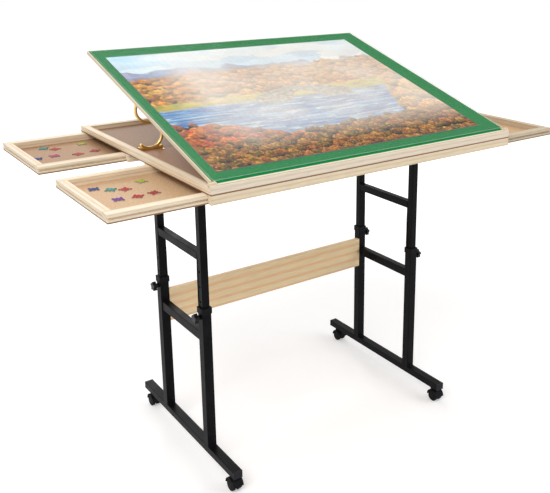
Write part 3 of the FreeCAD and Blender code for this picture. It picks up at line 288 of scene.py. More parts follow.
@dataclass(frozen=True)
class MouldedPlastic(Finish):
    """Plastic from a spark-eroded mould: a dark, even, finely grained skin."""

    dark: str = "#0F0F11"
    light: str = "#18181B"
    # The mould's grain is really about 0.2 mm, and is drawn coarser to show.
    grit: float = 0.9
    depth: float = 0.05
    smooth: float = 0.48
    rough: float = 0.6
    shine: float = 0.08

    def shade(self, tree: Tree, space: Socket) -> Inputs:
        """The grain in colour, gloss and relief.

        Args:
            tree: the material's node tree.
            space: object space, in metres.

        Returns:
            What goes into each input of the shader.
        """
        grain = add_node(
            tree, "ShaderNodeTexNoise", {"Vector": space, "Scale": per(self.grit), "Detail": 2.0}
        )
        return {
            "Base Color": add_node(
                tree, "ShaderNodeValToRGB", {0: grain}, [(LOW, self.dark), (HIGH, self.light)]
            ),
            "Roughness": add_node(
                tree, "ShaderNodeValToRGB", {0: grain}, [(LOW, self.smooth), (HIGH, self.rough)]
            ),
            "Specular IOR Level": self.shine,
            "Normal": add_node(tree, "ShaderNodeBump", {"Height": grain, "Distance": self.depth * MM}),
        }


@dataclass(frozen=True)
class Pine(Finish):
    """Pine, planed, under thin clear lacquer: cream early wood, tan late wood in long lines, and fibres.

    `warmth` is how much of the blush a patch has at most. Fibres darken the wood to `fibre_shade`, by
    `fibre_share` of it. `stretch` shortens space along the grain, which draws every pattern out.
    """

    grain: Axis = Axis.X
    early: str = "#F3E3CB"
    late: str = "#E3CBA5"
    blush: str = "#EED3B6"
    ring: float = 9.0
    wander: float = 6.0
    patch: float = 110.0
    warmth: float = 0.6
    # Fibres are really about 0.1 mm thick, and are drawn in bundles to show.
    fibre: float = 1.3
    fibre_shade: float = 0.82
    fibre_share: float = 0.75
    stretch: float = 0.03
    depth: float = 0.04
    smooth: float = 0.42
    rough: float = 0.58
    shine: float = 0.15

    def along(self, tree: Tree, space: Socket) -> Node:
        """Object space drawn out along the grain, so that every pattern on it becomes long lines.

        Args:
            tree: the material's node tree.
            space: object space, in metres.

        Returns:
            The drawn-out space.
        """
        scale = [1.0, 1.0, 1.0]
        scale[self.grain.value] = self.stretch
        return add_node(tree, "ShaderNodeMapping", {"Vector": space, "Scale": scale})

    def shade(self, tree: Tree, space: Socket) -> Inputs:
        """Growth rings about a far pith, patches of a warmer tone, and fibres between the rings.

        Args:
            tree: the material's node tree.
            space: object space, in metres.

        Returns:
            What goes into each input of the shader.
        """
        drawn = self.along(tree, space)
        rings = add_node(
            tree, "ShaderNodeTexWave",
            {"Vector": drawn, "Scale": WAVE_PERIOD * per(self.ring), "Distortion": self.wander, "Detail": 2.0,
             "Detail Scale": 0.35, "Detail Roughness": 0.5},
            wave_type="RINGS", rings_direction=self.grain.name,
        )
        wood = add_node(
            tree, "ShaderNodeValToRGB", {0: rings.outputs["Fac"]},
            [(0.0, self.early), (1.0, self.late), (0.45, self.early)],
        )
        patches = add_node(
            tree, "ShaderNodeTexNoise", {"Vector": drawn, "Scale": per(self.patch), "Detail": 2.0}
        )
        share = add_node(tree, "ShaderNodeValToRGB", {0: patches}, [(0.4, 0.0), (0.75, self.warmth)])
        warm = add_node(
            tree, "ShaderNodeMix", {MIX_FACTOR: share, MIX_A: wood, MIX_B: linear(self.blush)},
            data_type="RGBA",
        )
        fibres = add_node(
            tree, "ShaderNodeTexNoise", {"Vector": drawn, "Scale": per(self.fibre), "Detail": 3.0}
        )
        shadow = add_node(tree, "ShaderNodeValToRGB", {0: fibres}, [(0.32, self.fibre_shade), (0.6, 1.0)])
        return {
            "Base Color": add_node(
                tree, "ShaderNodeMix", {MIX_FACTOR: self.fibre_share, MIX_A: warm, MIX_B: shadow},
                data_type="RGBA", blend_type="MULTIPLY",
            ),
            "Roughness": add_node(
                tree, "ShaderNodeValToRGB", {0: fibres}, [(LOW, self.rough), (HIGH, self.smooth)]
            ),
            "Specular IOR Level": self.shine,
            "Normal": add_node(tree, "ShaderNodeBump", {"Height": fibres, "Distance": self.depth * MM}),
        }


@dataclass(frozen=True)
class FramedPine(Pine):
    """Pine in a drawer's frame: the side rails' grain runs with the drawer, the end rails' grain across it.

    The end rails reach from `inner` to `outer`, as distances from the table's middle line in metres.
    """

    inner: float = 0.0
    outer: float = 0.0

    def along(self, tree: Tree, space: Socket) -> Node:
        """Two drawn-out spaces, picked by whether a point lies between the side rails.

        Args:
            tree: the material's node tree.
            space: object space, in metres.

        Returns:
            The drawn-out space.
        """
        turned = add_node(
            tree, "ShaderNodeMapping",
            {"Vector": space, "Rotation": (0.0, 0.0, -math.pi / 2), "Scale": (1.0, self.stretch, 1.0)},
        )
        y = add_node(tree, "ShaderNodeSeparateXYZ", {0: space}).outputs["Y"]
        aside = add_node(tree, "ShaderNodeMath", {0: y}, operation="ABSOLUTE")
        middle, half = (self.inner + self.outer) / 2, (self.outer - self.inner) / 2
        between = add_node(tree, "ShaderNodeMath", {0: aside, 1: middle, 2: half}, operation="COMPARE")
        return add_node(
            tree, "ShaderNodeMix",
            {MIX_FACTOR: between, MIX_VECTOR_A: super().along(tree, space), MIX_VECTOR_B: turned},
            data_type="VECTOR",
        )


@dataclass(frozen=True)
class Plywood(Finish):
    """Birch plywood, sawn: pale plies with darker ones between them, in lines along the edge.

    Fibres darken the plies to `fibre_shade`, by `fibre_share` of it, and `stretch` draws them out.
    """

    space: BoardSpace
    pale: str = "#F3EAD6"
    dark: str = "#D2B78D"
    ply: float = 1.6
    waver: float = 0.4
    # Sawn fibres are really about 0.2 mm thick, and are drawn in bundles to show.
    fibre: float = 1.4
    fibre_shade: float = 0.84
    fibre_share: float = 0.7
    stretch: float = 0.1
    depth: float = 0.06
    rough: float = 0.6
    shine: float = 0.15

    def shade(self, tree: Tree, space: Socket) -> Inputs:
        """Bands across the board's thickness, with long fibres on them.

        Args:
            tree: the material's node tree.
            space: object space, in metres.

        Returns:
            What goes into each input of the shader.
        """
        local = add_node(
            tree, "ShaderNodeMapping",
            {"Vector": space, "Location": self.space.pivot, "Rotation": (self.space.tilt, 0.0, 0.0)},
            vector_type="TEXTURE",
        )
        bands = add_node(
            tree, "ShaderNodeTexWave",
            {"Vector": local, "Scale": WAVE_PERIOD * per(2 * self.ply), "Distortion": self.waver,
             "Detail": 2.0},
            wave_type="BANDS", bands_direction="Z",
        )
        colour = add_node(
            tree, "ShaderNodeValToRGB", {0: bands.outputs["Fac"]}, [(0.35, self.pale), (0.8, self.dark)]
        )
        drawn = add_node(tree, "ShaderNodeMapping", {"Vector": local, "Scale": (self.stretch, 1.0, 1.0)})
        fibres = add_node(
            tree, "ShaderNodeTexNoise", {"Vector": drawn, "Scale": per(self.fibre), "Detail": 2.0}
        )
        shadow = add_node(tree, "ShaderNodeValToRGB", {0: fibres}, [(0.3, self.fibre_shade), (0.6, 1.0)])
        return {
            "Base Color": add_node(
                tree, "ShaderNodeMix", {MIX_FACTOR: self.fibre_share, MIX_A: colour, MIX_B: shadow},
                data_type="RGBA", blend_type="MULTIPLY",
            ),
            "Roughness": self.rough,
            "Specular IOR Level": self.shine,
            "Normal": add_node(tree, "ShaderNodeBump", {"Height": fibres, "Distance": self.depth * MM}),
        }


@dataclass(frozen=True)
class Hardboard(Finish):
    """Hardboard, pressed from wood fibre: smooth brown, mottled by clumps of fibre, and dark sawn edges."""

    dark: str
    light: str
    edge: str = "#7E5B3D"
    edge_share: float = 0.8
    clump: float = 6.0
    # Fibres are really about 0.05 mm thick, and are drawn in tufts to show.
    fibre: float = 0.9
    depth: float = 0.05
    smooth: float = 0.45
    rough: float = 0.62
    shine: float = 0.15

    def shade(self, tree: Tree, space: Socket) -> Inputs:
        """Mottle in two sizes, darker where a face stands upright, and the pressed face's slight relief.

        Args:
            tree: the material's node tree.
            space: object space, in metres.

        Returns:
            What goes into each input of the shader.
        """
        clumps = add_node(
            tree, "ShaderNodeTexNoise",
            {"Vector": space, "Scale": per(self.clump), "Detail": 6.0, "Roughness": 0.7},
        )
        face = add_node(tree, "ShaderNodeValToRGB", {0: clumps}, [(LOW, self.dark), (HIGH, self.light)])
        sawn = add_node(
            tree, "ShaderNodeMix", {MIX_FACTOR: self.edge_share, MIX_A: face, MIX_B: linear(self.edge)},
            data_type="RGBA",
        )
        normal = add_node(tree, "ShaderNodeTexCoord").outputs["Normal"]
        height = add_node(tree, "ShaderNodeSeparateXYZ", {0: normal}).outputs["Z"]
        steep = add_node(tree, "ShaderNodeMath", {0: height}, operation="ABSOLUTE")
        level = add_node(tree, "ShaderNodeMath", {0: steep, 1: UPRIGHT}, operation="GREATER_THAN")
        fibres = add_node(
            tree, "ShaderNodeTexNoise", {"Vector": space, "Scale": per(self.fibre), "Detail": 2.0}
        )
        return {
            "Base Color": add_node(
                tree, "ShaderNodeMix", {MIX_FACTOR: level, MIX_A: sawn, MIX_B: face}, data_type="RGBA"
            ),
            "Roughness": add_node(
                tree, "ShaderNodeValToRGB", {0: fibres}, [(LOW, self.smooth), (HIGH, self.rough)]
            ),
            "Specular IOR Level": self.shine,
            "Normal": add_node(tree, "ShaderNodeBump", {"Height": fibres, "Distance": self.depth * MM}),
        }


@dataclass(frozen=True)
class Felt(Finish):
    """Felt, needled and dyed: a soft matt nap of matted fibres that catches light at its edges."""

    deep: str = "#056A32"
    bright: str = "#138B48"
    flock: float = 4.0
    # Hairs are really about 0.03 mm thick, and are drawn in matted tufts to show.
    hair: float = 1.1
    curl: float = 1.5
    depth: float = 0.25
    rough: float = 0.95
    shine: float = 0.05
    sheen: float = 0.03
    sheen_rough: float = 0.5

    def shade(self, tree: Tree, space: Socket) -> Inputs:
        """Flocks of two greens under short matted hairs.

        Args:
            tree: the material's node tree.
            space: object space, in metres.

        Returns:
            What goes into each input of the shader.
        """
        flocks = add_node(
            tree, "ShaderNodeTexNoise",
            {"Vector": space, "Scale": per(self.flock), "Detail": 5.0, "Roughness": 0.65},
        )
        hairs = add_node(
            tree, "ShaderNodeTexNoise",
            {"Vector": space, "Scale": per(self.hair), "Detail": 3.0, "Distortion": self.curl},
        )
        return {
            "Base Color": add_node(
                tree, "ShaderNodeValToRGB", {0: flocks}, [(LOW, self.deep), (HIGH, self.bright)]
            ),
            "Roughness": self.rough,
            "Specular IOR Level": self.shine,
            "Sheen Weight": self.sheen,
            "Sheen Roughness": self.sheen_rough,
            "Normal": add_node(tree, "ShaderNodeBump", {"Height": hairs, "Distance": self.depth * MM}),
        }


@dataclass(frozen=True)
class Band:
    """One layer of the printed landscape: its upper edge, its crowns, and the dabs of paint on them.

    The edge starts at `top` at the picture's left side, rises with `slope` and wanders by `relief`, in metres.
    The crowns ruffle it by `ruffle` of their size. A crown and a dab have their sizes in millimetres, and `flat`
    draws them out sideways. `light` is how much brighter a crown's upper side is.
    """

    top: float
    slope: float
    relief: float
    ruffle: float
    crown: float
    dab: float
    flat: float
    light: float
    colours: tuple[str, ...]


# The bridge stands in front of the lake, the band of this number, and behind the near banks.
BRIDGE_AFTER = 5
# From the sky at the back to the shrubs in front.
LANDSCAPE = (
    Band(0.70, 0.0, 0.0, 0.0, 150.0, 45.0, 0.4, 0.15, ("#8FC1E2", "#B5D8EC", "#D6EAF3", "#F4F2EA", "#A4CDE6")),
    Band(0.515, -0.05, 0.11, 0.0, 60.0, 12.0, 0.7, 0.5, ("#7D8FB5", "#9AAECB", "#6B82A8", "#B3A9BE", "#8C9DBD")),
    Band(0.455, 0.02, 0.09, 0.8, 24.0, 4.5, 1.0, 0.9, ("#B5541C", "#E0892A", "#F0B93C", "#94401E", "#C9A13A")),
    Band(0.385, -0.06, 0.06, 0.9, 38.0, 5.0, 1.0, 1.0, ("#D96F1E", "#F2A431", "#F7CB55", "#B93E1B", "#8A7A2A")),
    Band(0.315, 0.03, 0.02, 0.0, 36.0, 5.5, 0.35, 0.3, ("#C7B83F", "#9FAE3B", "#E0C24A", "#7E9A35", "#D8A23C")),
    Band(0.285, 0.0, 0.01, 0.0, 20.0, 5.0, 0.12, 0.3, ("#1F5FA8", "#3E86C6", "#7FB9E0", "#1A4C8E", "#C9D9DE")),
    Band(0.215, -0.42, 0.05, 0.8, 32.0, 4.5, 1.0, 1.0, ("#8E2A1E", "#C9481F", "#E57A2B", "#5E2A1C", "#F0A53B")),
    Band(-1.33, 2.25, 0.20, 0.9, 46.0, 5.0, 1.0, 1.0, ("#E08A22", "#F4B83A", "#C95A1C", "#FAD765", "#9C4A1C")),
    Band(0.085, 0.05, 0.06, 0.8, 26.0, 4.5, 1.0, 1.0, ("#4E5A24", "#C2702A", "#D8A53C", "#A8331E", "#2F4420")),
)


@dataclass(frozen=True)
class Bridge:
    """A stone footbridge in the printed landscape: a hump over one round arch, in metres of the picture.

    A stone's size is in millimetres, and `stone_flat` draws the stones out sideways. `stone_light` is the light
    at a stone's middle, and `joint_light` the light in the joints.
    """

    middle: float = 0.42
    foot: float = 0.262
    half: float = 0.15
    shoulder: float = 0.035
    hump: float = 0.045
    arch: float = 0.048
    stone: float = 7.0
    stone_flat: float = 0.6
    stone_light: float = 1.1
    joint_light: float = 0.45
    colours: tuple[str, ...] = ("#8B8379", "#B0A696", "#6F665E", "#C9BEA8", "#94806A")


@dataclass(frozen=True)
class Canvas:
    """Where a picture is painted: the material's node tree, the picture's own space, and its x and y."""

    tree: Tree
    local: Node
    x: Socket
    y: Socket

    def pick(self, cells: Node, colours: tuple[str, ...]) -> Node:
        """One of some colours for each cell of a pattern, in smooth steps between them.

        Args:
            cells: the pattern.
            colours: the colours.

        Returns:
            The colour node.
        """
        share = add_node(self.tree, "ShaderNodeSeparateXYZ", {0: cells.outputs["Color"]})
        last = len(colours) - 1
        stops = [(0.1 + 0.8 * number / last, colour) for number, colour in enumerate(colours)]
        return add_node(self.tree, "ShaderNodeValToRGB", {0: share}, [stops[0], stops[-1], *stops[1:-1]])


@dataclass(frozen=True)
class PrintedCard(Finish):
    """Puzzle board, printed and varnished: a painted valley in autumn, with grey card showing in the cuts.

    `corner` is the puzzle's front left corner at its underside, and is in metres, as `thickness` is. The
    print reaches `cut` millimetres down from the top, and the card shows below. A band's paint is pushed
    about by `push` of a crown, and `dab_share` of it is dabs. Its light is `base_light` at a crown's
    middle and falls by `edge_shade` a crown's width away. Strokes darken it by `stroke_shade`, or lighten
    it to `stroke_light`. `hill_step` and `band_step` move each band's patterns away from the others'. The
    mist starts at `mist_from`, as distances from the picture's left and front in metres. It is full at
    `mist_full`, and hides `thin_mist` to `dense_mist` of the picture there.
    """

    space: BoardSpace
    corner: Triple
    thickness: float
    card: str = "#8E8B88"
    cut: float = 0.16
    # The linen that is pressed into the board has threads of about 0.5 mm, and is drawn coarser to show.
    linen: float = 1.1
    depth: float = 0.04
    smooth: float = 0.42
    rough: float = 0.56
    shine: float = 0.05
    mist: str = "#FBF3E8"
    thin_mist: float = 0.46
    dense_mist: float = 0.68
    mist_from: tuple[float, float] = (0.03, 0.04)
    mist_full: tuple[float, float] = (0.16, 0.17)
    wisp: float = 140.0
    hill: float = 110.0
    hill_step: float = 27.9
    band_step: tuple[float, float] = (1.7, 0.9)
    strokes: float = 3.0
    push: float = 0.5
    dab_share: float = 0.68
    base_light: float = 0.95
    edge_shade: float = 0.45
    stroke_shade: float = 0.4
    stroke_light: float = 1.15
    bridge: Bridge = Bridge()

    def shade(self, tree: Tree, space: Socket) -> Inputs:
        """Paints the bands from back to front, the bridge on the lake and the mist, and leaves the cuts grey.

        Args:
            tree: the material's node tree.
            space: object space, in metres.

        Returns:
            What goes into each input of the shader.
        """
        local = add_node(
            tree, "ShaderNodeMapping",
            {"Vector": space, "Location": self.corner, "Rotation": (self.space.tilt, 0.0, 0.0)},
            vector_type="TEXTURE",
        )
        parts = add_node(tree, "ShaderNodeSeparateXYZ", {0: local}).outputs
        canvas = Canvas(tree, local, parts["X"], parts["Y"])
        picture = None
        for number, band in enumerate(LANDSCAPE):
            paint, ruffle = self.paint(canvas, band, number)
            picture = paint if picture is None else self.cover(canvas, picture, paint, ruffle, band, number)
            if number == BRIDGE_AFTER:
                picture = self.span(canvas, picture)
        picture = self.hang_mist(canvas, picture)
        deep = add_node(
            tree, "ShaderNodeMath", {0: parts["Z"], 1: self.thickness - self.cut * MM}, operation="LESS_THAN"
        )
        linen = add_node(
            tree, "ShaderNodeTexNoise", {"Vector": local, "Scale": per(self.linen), "Detail": 2.0}
        )
        return {
            "Base Color": add_node(
                tree, "ShaderNodeMix", {MIX_FACTOR: deep, MIX_A: picture, MIX_B: linear(self.card)},
                data_type="RGBA",
            ),
            "Roughness": add_node(
                tree, "ShaderNodeValToRGB", {0: linen}, [(LOW, self.smooth), (HIGH, self.rough)]
            ),
            "Specular IOR Level": self.shine,
            "Normal": add_node(tree, "ShaderNodeBump", {"Height": linen, "Distance": self.depth * MM}),
        }

    def hang_mist(self, canvas: Canvas, picture: Node) -> Node:
        """Morning mist over the valley: thin at its left and front, denser towards its middle and rear.

        Args:
            canvas: where the picture is painted.
            picture: the picture so far.

        Returns:
            The picture with its mist.
        """
        tree = canvas.tree
        wisps = add_node(
            tree, "ShaderNodeTexNoise", {"Vector": canvas.local, "Scale": per(self.wisp), "Detail": 4.0}
        )
        across, up = (
            add_node(tree, "ShaderNodeMapRange", {"Value": value, "From Min": start, "From Max": full})
            for value, start, full in zip((canvas.x, canvas.y), self.mist_from, self.mist_full)
        )
        area = add_node(tree, "ShaderNodeMath", {0: across, 1: up}, operation="MULTIPLY")
        drift = add_node(
            tree, "ShaderNodeMapRange",
            {"Value": wisps, "From Min": LOW, "From Max": HIGH,
             "To Min": self.thin_mist, "To Max": self.dense_mist},
        )
        share = add_node(tree, "ShaderNodeMath", {0: area, 1: drift}, operation="MULTIPLY")
        return add_node(
            tree, "ShaderNodeMix", {MIX_FACTOR: share, MIX_A: picture, MIX_B: linear(self.mist)},
            data_type="RGBA",
        )

    def paint(self, canvas: Canvas, band: Band, number: int) -> tuple[Node, Node]:
        """The paint of one band: round crowns lit from above, each in one colour, under dabs of every colour.

        Args:
            canvas: where the picture is painted.
            band: the band.
            number: its place in the landscape, which moves its pattern away from the others'.

        Returns:
            The paint's colour, and how far a crown reaches over the band's edge there, from 0 to 1.
        """
        tree, crown = canvas.tree, band.crown * MM
        aside, ahead = self.band_step
        drawn = add_node(
            tree, "ShaderNodeMapping",
            {"Vector": canvas.local, "Location": (number * aside, number * ahead, 0.0),
             "Scale": (band.flat, 1.0, 1.0)},
        )
        warp = add_node(
            tree, "ShaderNodeTexNoise", {"Vector": drawn, "Scale": self.strokes / crown, "Detail": 4.0},
            noise_dimensions="2D",
        )
        pushed = add_node(
            tree, "ShaderNodeVectorMath",
            {0: warp.outputs["Color"], 1: (self.push * crown, self.push * crown, 0.0), 2: drawn},
            operation="MULTIPLY_ADD",
        )
        crowns, dabs = (
            add_node(
                tree, "ShaderNodeTexVoronoi", {"Vector": pushed, "Scale": per(size)}, voronoi_dimensions="2D"
            )
            for size in (band.crown, band.dab)
        )
        mixed = add_node(
            tree, "ShaderNodeMix",
            {MIX_FACTOR: self.dab_share, MIX_A: canvas.pick(crowns, band.colours),
             MIX_B: canvas.pick(dabs, band.colours)},
            data_type="RGBA",
        )
        offset = add_node(
            tree, "ShaderNodeVectorMath", {0: pushed, 1: crowns.outputs["Position"]}, operation="SUBTRACT"
        )
        rise = add_node(tree, "ShaderNodeSeparateXYZ", {0: offset}).outputs["Y"]
        lit = add_node(
            tree, "ShaderNodeMath", {0: rise, 1: band.light / crown, 2: self.base_light},
            operation="MULTIPLY_ADD",
        )
        rounded = add_node(
            tree, "ShaderNodeMath", {0: crowns.outputs["Distance"], 1: -self.edge_shade * band.light, 2: lit},
            operation="MULTIPLY_ADD",
        )
        strokes = add_node(
            tree, "ShaderNodeMapRange",
            {"Value": warp, "From Min": LOW, "From Max": HIGH,
             "To Min": 1 - self.stroke_shade * band.light, "To Max": self.stroke_light},
        )
        light = add_node(tree, "ShaderNodeMath", {0: rounded, 1: strokes}, operation="MULTIPLY")
        paint = add_node(
            tree, "ShaderNodeMix", {MIX_FACTOR: 1.0, MIX_A: mixed, MIX_B: light},
            data_type="RGBA", blend_type="MULTIPLY",
        )
        ruffle = add_node(
            tree, "ShaderNodeMath", {0: 1.0, 1: crowns.outputs["Distance"]}, operation="SUBTRACT"
        )
        return paint, ruffle

    def cover(self, canvas: Canvas, behind: Node, paint: Node, ruffle: Node, band: Band, number: int) -> Node:
        """Lays one band over what is behind it, below an edge that slopes, wanders and is ruffled by crowns.

        Args:
            canvas: where the picture is painted.
            behind: the picture so far.
            paint: the band's paint.
            ruffle: how far a crown reaches over the band's edge.
            band: the band.
            number: its place in the landscape, which moves its edge's pattern away from the others'.

        Returns:
            The picture with the band.
        """
        tree = canvas.tree
        seed = add_node(
            tree, "ShaderNodeMath", {0: canvas.x, 1: per(self.hill), 2: number * self.hill_step},
            operation="MULTIPLY_ADD",
        )
        skyline = add_node(
            tree, "ShaderNodeTexNoise", {"W": seed, "Scale": 1.0, "Detail": 3.0}, noise_dimensions="1D"
        )
        lifted = add_node(
            tree, "ShaderNodeMath", {0: skyline, 1: band.relief, 2: band.top - band.relief / 2},
            operation="MULTIPLY_ADD",
        )
        edge = add_node(
            tree, "ShaderNodeMath", {0: canvas.x, 1: band.slope, 2: lifted}, operation="MULTIPLY_ADD"
        )
        reach = band.ruffle * band.crown * MM
        crest = add_node(tree, "ShaderNodeMath", {0: ruffle, 1: reach, 2: edge}, operation="MULTIPLY_ADD")
        below = add_node(tree, "ShaderNodeMath", {0: canvas.y, 1: crest}, operation="LESS_THAN")
        return add_node(
            tree, "ShaderNodeMix", {MIX_FACTOR: below, MIX_A: behind, MIX_B: paint}, data_type="RGBA"
        )

    def span(self, canvas: Canvas, behind: Node) -> Node:
        """Lays the bridge over what is behind it: under the hump's parabola, over its foot, outside the arch.

        Args:
            canvas: where the picture is painted.
            behind: the picture so far.

        Returns:
            The picture with the bridge.
        """
        tree, bridge = canvas.tree, self.bridge
        across = add_node(tree, "ShaderNodeMath", {0: canvas.x, 1: bridge.middle}, operation="SUBTRACT")
        square = add_node(tree, "ShaderNodeMath", {0: across, 1: across}, operation="MULTIPLY")
        crest = add_node(
            tree, "ShaderNodeMath",
            {0: square, 1: -bridge.hump / bridge.half**2, 2: bridge.foot + bridge.shoulder + bridge.hump},
            operation="MULTIPLY_ADD",
        )
        flat = add_node(tree, "ShaderNodeCombineXYZ", {0: canvas.x, 1: canvas.y})
        away = add_node(
            tree, "ShaderNodeVectorMath", {0: flat, 1: (bridge.middle, bridge.foot, 0.0)},
            operation="DISTANCE",
        )
        tests = (
            (canvas.y, crest, "LESS_THAN"),
            (canvas.y, bridge.foot, "GREATER_THAN"),
            (square, bridge.half**2, "LESS_THAN"),
            (away, bridge.arch, "GREATER_THAN"),
        )
        whole, *others = (
            add_node(tree, "ShaderNodeMath", {0: value, 1: limit}, operation=test)
            for value, limit, test in tests
        )
        for other in others:
            whole = add_node(tree, "ShaderNodeMath", {0: whole, 1: other}, operation="MULTIPLY")
        drawn = add_node(
            tree, "ShaderNodeMapping", {"Vector": canvas.local, "Scale": (bridge.stone_flat, 1.0, 1.0)}
        )
        stones = add_node(
            tree, "ShaderNodeTexVoronoi", {"Vector": drawn, "Scale": per(bridge.stone)},
            voronoi_dimensions="2D",
        )
        joints = add_node(
            tree, "ShaderNodeMapRange",
            {"Value": stones.outputs["Distance"], "To Min": bridge.stone_light, "To Max": bridge.joint_light},
        )
        masonry = add_node(
            tree, "ShaderNodeMix",
            {MIX_FACTOR: 1.0, MIX_A: canvas.pick(stones, bridge.colours), MIX_B: joints},
            data_type="RGBA", blend_type="MULTIPLY",
        )
        return add_node(
            tree, "ShaderNodeMix", {MIX_FACTOR: whole, MIX_A: behind, MIX_B: masonry}, data_type="RGBA"
        )


@dataclass(frozen=True)
class LooseCard(Finish):
    """Puzzle board, printed and die-cut: each piece has its own strong colour, and grey card at its sides.

    Stains in the ink darken it to `stain_shade`, by `stain_share` of it.
    """

    card: str = "#9B958D"
    stain: float = 4.5
    stain_shade: float = 0.55
    stain_share: float = 0.35
    depth: float = 0.05
    rough: float = 0.45
    shine: float = 0.05

    def shade(self, tree: Tree, space: Socket) -> Inputs:
        """The piece's own print on the faces that look up, with darker stains in the ink, and card elsewhere.

        Args:
            tree: the material's node tree.
            space: object space, in metres.

        Returns:
            What goes into each input of the shader.
        """
        printed = add_node(tree, "ShaderNodeAttribute", attribute_name=PRINT_COLOUR).outputs["Color"]
        stains = add_node(
            tree, "ShaderNodeTexNoise", {"Vector": space, "Scale": per(self.stain), "Detail": 3.0}
        )
        shade = add_node(tree, "ShaderNodeValToRGB", {0: stains}, [(0.3, self.stain_shade), (0.65, 1.0)])
        inked = add_node(
            tree, "ShaderNodeMix", {MIX_FACTOR: self.stain_share, MIX_A: printed, MIX_B: shade},
            data_type="RGBA", blend_type="MULTIPLY",
        )
        normal = add_node(tree, "ShaderNodeTexCoord").outputs["Normal"]
        height = add_node(tree, "ShaderNodeSeparateXYZ", {0: normal}).outputs["Z"]
        top = add_node(tree, "ShaderNodeMath", {0: height, 1: UPRIGHT}, operation="GREATER_THAN")
        return {
            "Base Color": add_node(
                tree, "ShaderNodeMix", {MIX_FACTOR: top, MIX_A: linear(self.card), MIX_B: inked},
                data_type="RGBA",
            ),
            "Roughness": self.rough,
            "Specular IOR Level": self.shine,
            "Normal": add_node(tree, "ShaderNodeBump", {"Height": stains, "Distance": self.depth * MM}),
        }


@dataclass(frozen=True)
class ClearAcrylic(Finish):
    """Acrylic sheet, cast: a thin milky veil over what it covers, brighter sawn edges and faint wipes.

    `veil` and `edge_veil` are how much the broad faces and the edges hide, and `stretch` draws the wipes out.
    """

    space: BoardSpace
    haze: str = "#F6FAF9"
    edge: str = "#DCE8E6"
    veil: float = 0.025
    edge_veil: float = 0.6
    wipe: float = 40.0
    stretch: float = 0.2
    smooth: float = 0.05
    rough: float = 0.14
    refraction: float = 1.49

    def shade(self, tree: Tree, space: Socket) -> Inputs:
        """A veil, thin on the broad faces and dense on the sawn edges, and a gloss that the wipes vary.

        Args:
            tree: the material's node tree.
            space: object space, in metres.

        Returns:
            What goes into each input of the shader.
        """
        normal = add_node(tree, "ShaderNodeTexCoord").outputs["Normal"]
        outward = tuple(self.space.turn()[:, Axis.Z.value])
        facing = add_node(tree, "ShaderNodeVectorMath", {0: normal, 1: outward}, operation="DOT_PRODUCT")
        flatness = add_node(tree, "ShaderNodeMath", {0: facing}, operation="ABSOLUTE")
        drawn = add_node(tree, "ShaderNodeMapping", {"Vector": space, "Scale": (1.0, self.stretch, 1.0)})
        wipes = add_node(
            tree, "ShaderNodeTexNoise", {"Vector": drawn, "Scale": per(self.wipe), "Detail": 4.0}
        )
        return {
            "Base Color": add_node(
                tree, "ShaderNodeValToRGB", {0: flatness}, [(0.5, self.edge), (0.9, self.haze)]
            ),
            "Alpha": add_node(
                tree, "ShaderNodeValToRGB", {0: flatness}, [(0.5, self.edge_veil), (0.9, self.veil)]
            ),
            "Roughness": add_node(
                tree, "ShaderNodeValToRGB", {0: wipes}, [(0.35, self.smooth), (0.7, self.rough)]
            ),
            "IOR": self.refraction,
        }


@dataclass(frozen=True)
class PlatedSteel(Finish):
    """Steel, drawn or stamped and plated: bright metal with soft drag marks under the plating."""

    dark: str = "#EEC970"
    light: str = "#FFE6A6"
    smooth: float = 0.28
    rough: float = 0.42
    # Drag marks are really under 0.5 mm apart, and are drawn coarser to show.
    mark: float = 2.5
    depth: float = 0.02

    def shade(self, tree: Tree, space: Socket) -> Inputs:
        """The marks in colour, gloss and relief, on full metal.

        Args:
            tree: the material's node tree.
            space: object space, in metres.

        Returns:
            What goes into each input of the shader.
        """
        marks = add_node(
            tree, "ShaderNodeTexNoise", {"Vector": space, "Scale": per(self.mark), "Detail": 4.0}
        )
        return {
            "Base Color": add_node(
                tree, "ShaderNodeValToRGB", {0: marks}, [(LOW, self.dark), (HIGH, self.light)]
            ),
            "Roughness": add_node(
                tree, "ShaderNodeValToRGB", {0: marks}, [(LOW, self.smooth), (HIGH, self.rough)]
            ),
            "Metallic": 1.0,
            "Normal": add_node(tree, "ShaderNodeBump", {"Height": marks, "Distance": self.depth * MM}),
        }


# Baked powder melts into a satin near-black skin with a faint orange peel.
POWDER_COAT = PowderCoat("black powder coat, baked on steel tube")
# Polypropylene comes from its mould matt and slightly greyer than the steel, and a knob's resin is polished.
PLASTIC = MouldedPlastic("black polypropylene, moulded")
KNOB_PLASTIC = MouldedPlastic(
    "black phenolic resin, moulded and polished", smooth=0.2, rough=0.32, shine=0.15
)
# Polythene end plugs look dark grey beside the coated tubes.
PLUG_PLASTIC = MouldedPlastic("dark grey polythene, moulded", dark="#232327", light="#2E2E33")
# Planed pine is cream with tan lines along each strip. The lip and the aprons are of beige boards, and the
# stretcher is a tanner one with broad rings. The stretcher's pine is also painted lighter, as painted light that
# makes up for the shade of the table top.
PINE_X = Pine("pine, planed and lacquered, grain across the table")
PINE_Y = Pine("pine, planed and lacquered, grain front to rear", grain=Axis.Y)
PINE_LIP = Pine("pine, planed and lacquered, pinkish", early="#EFE2CF", late="#E4D2B8", blush="#E8D5BF")
PINE_APRON = Pine("pine, planed and lacquered, beige", early="#EFDEC3", late="#E2CBA6", blush="#E8D1B0")
PINE_STRETCHER = Pine(
    "pine, planed and lacquered, tan, painted light", early="#FFEAC0", late="#FBCE9B", blush="#FFDAAC", ring=24.0, wander=9.0
)
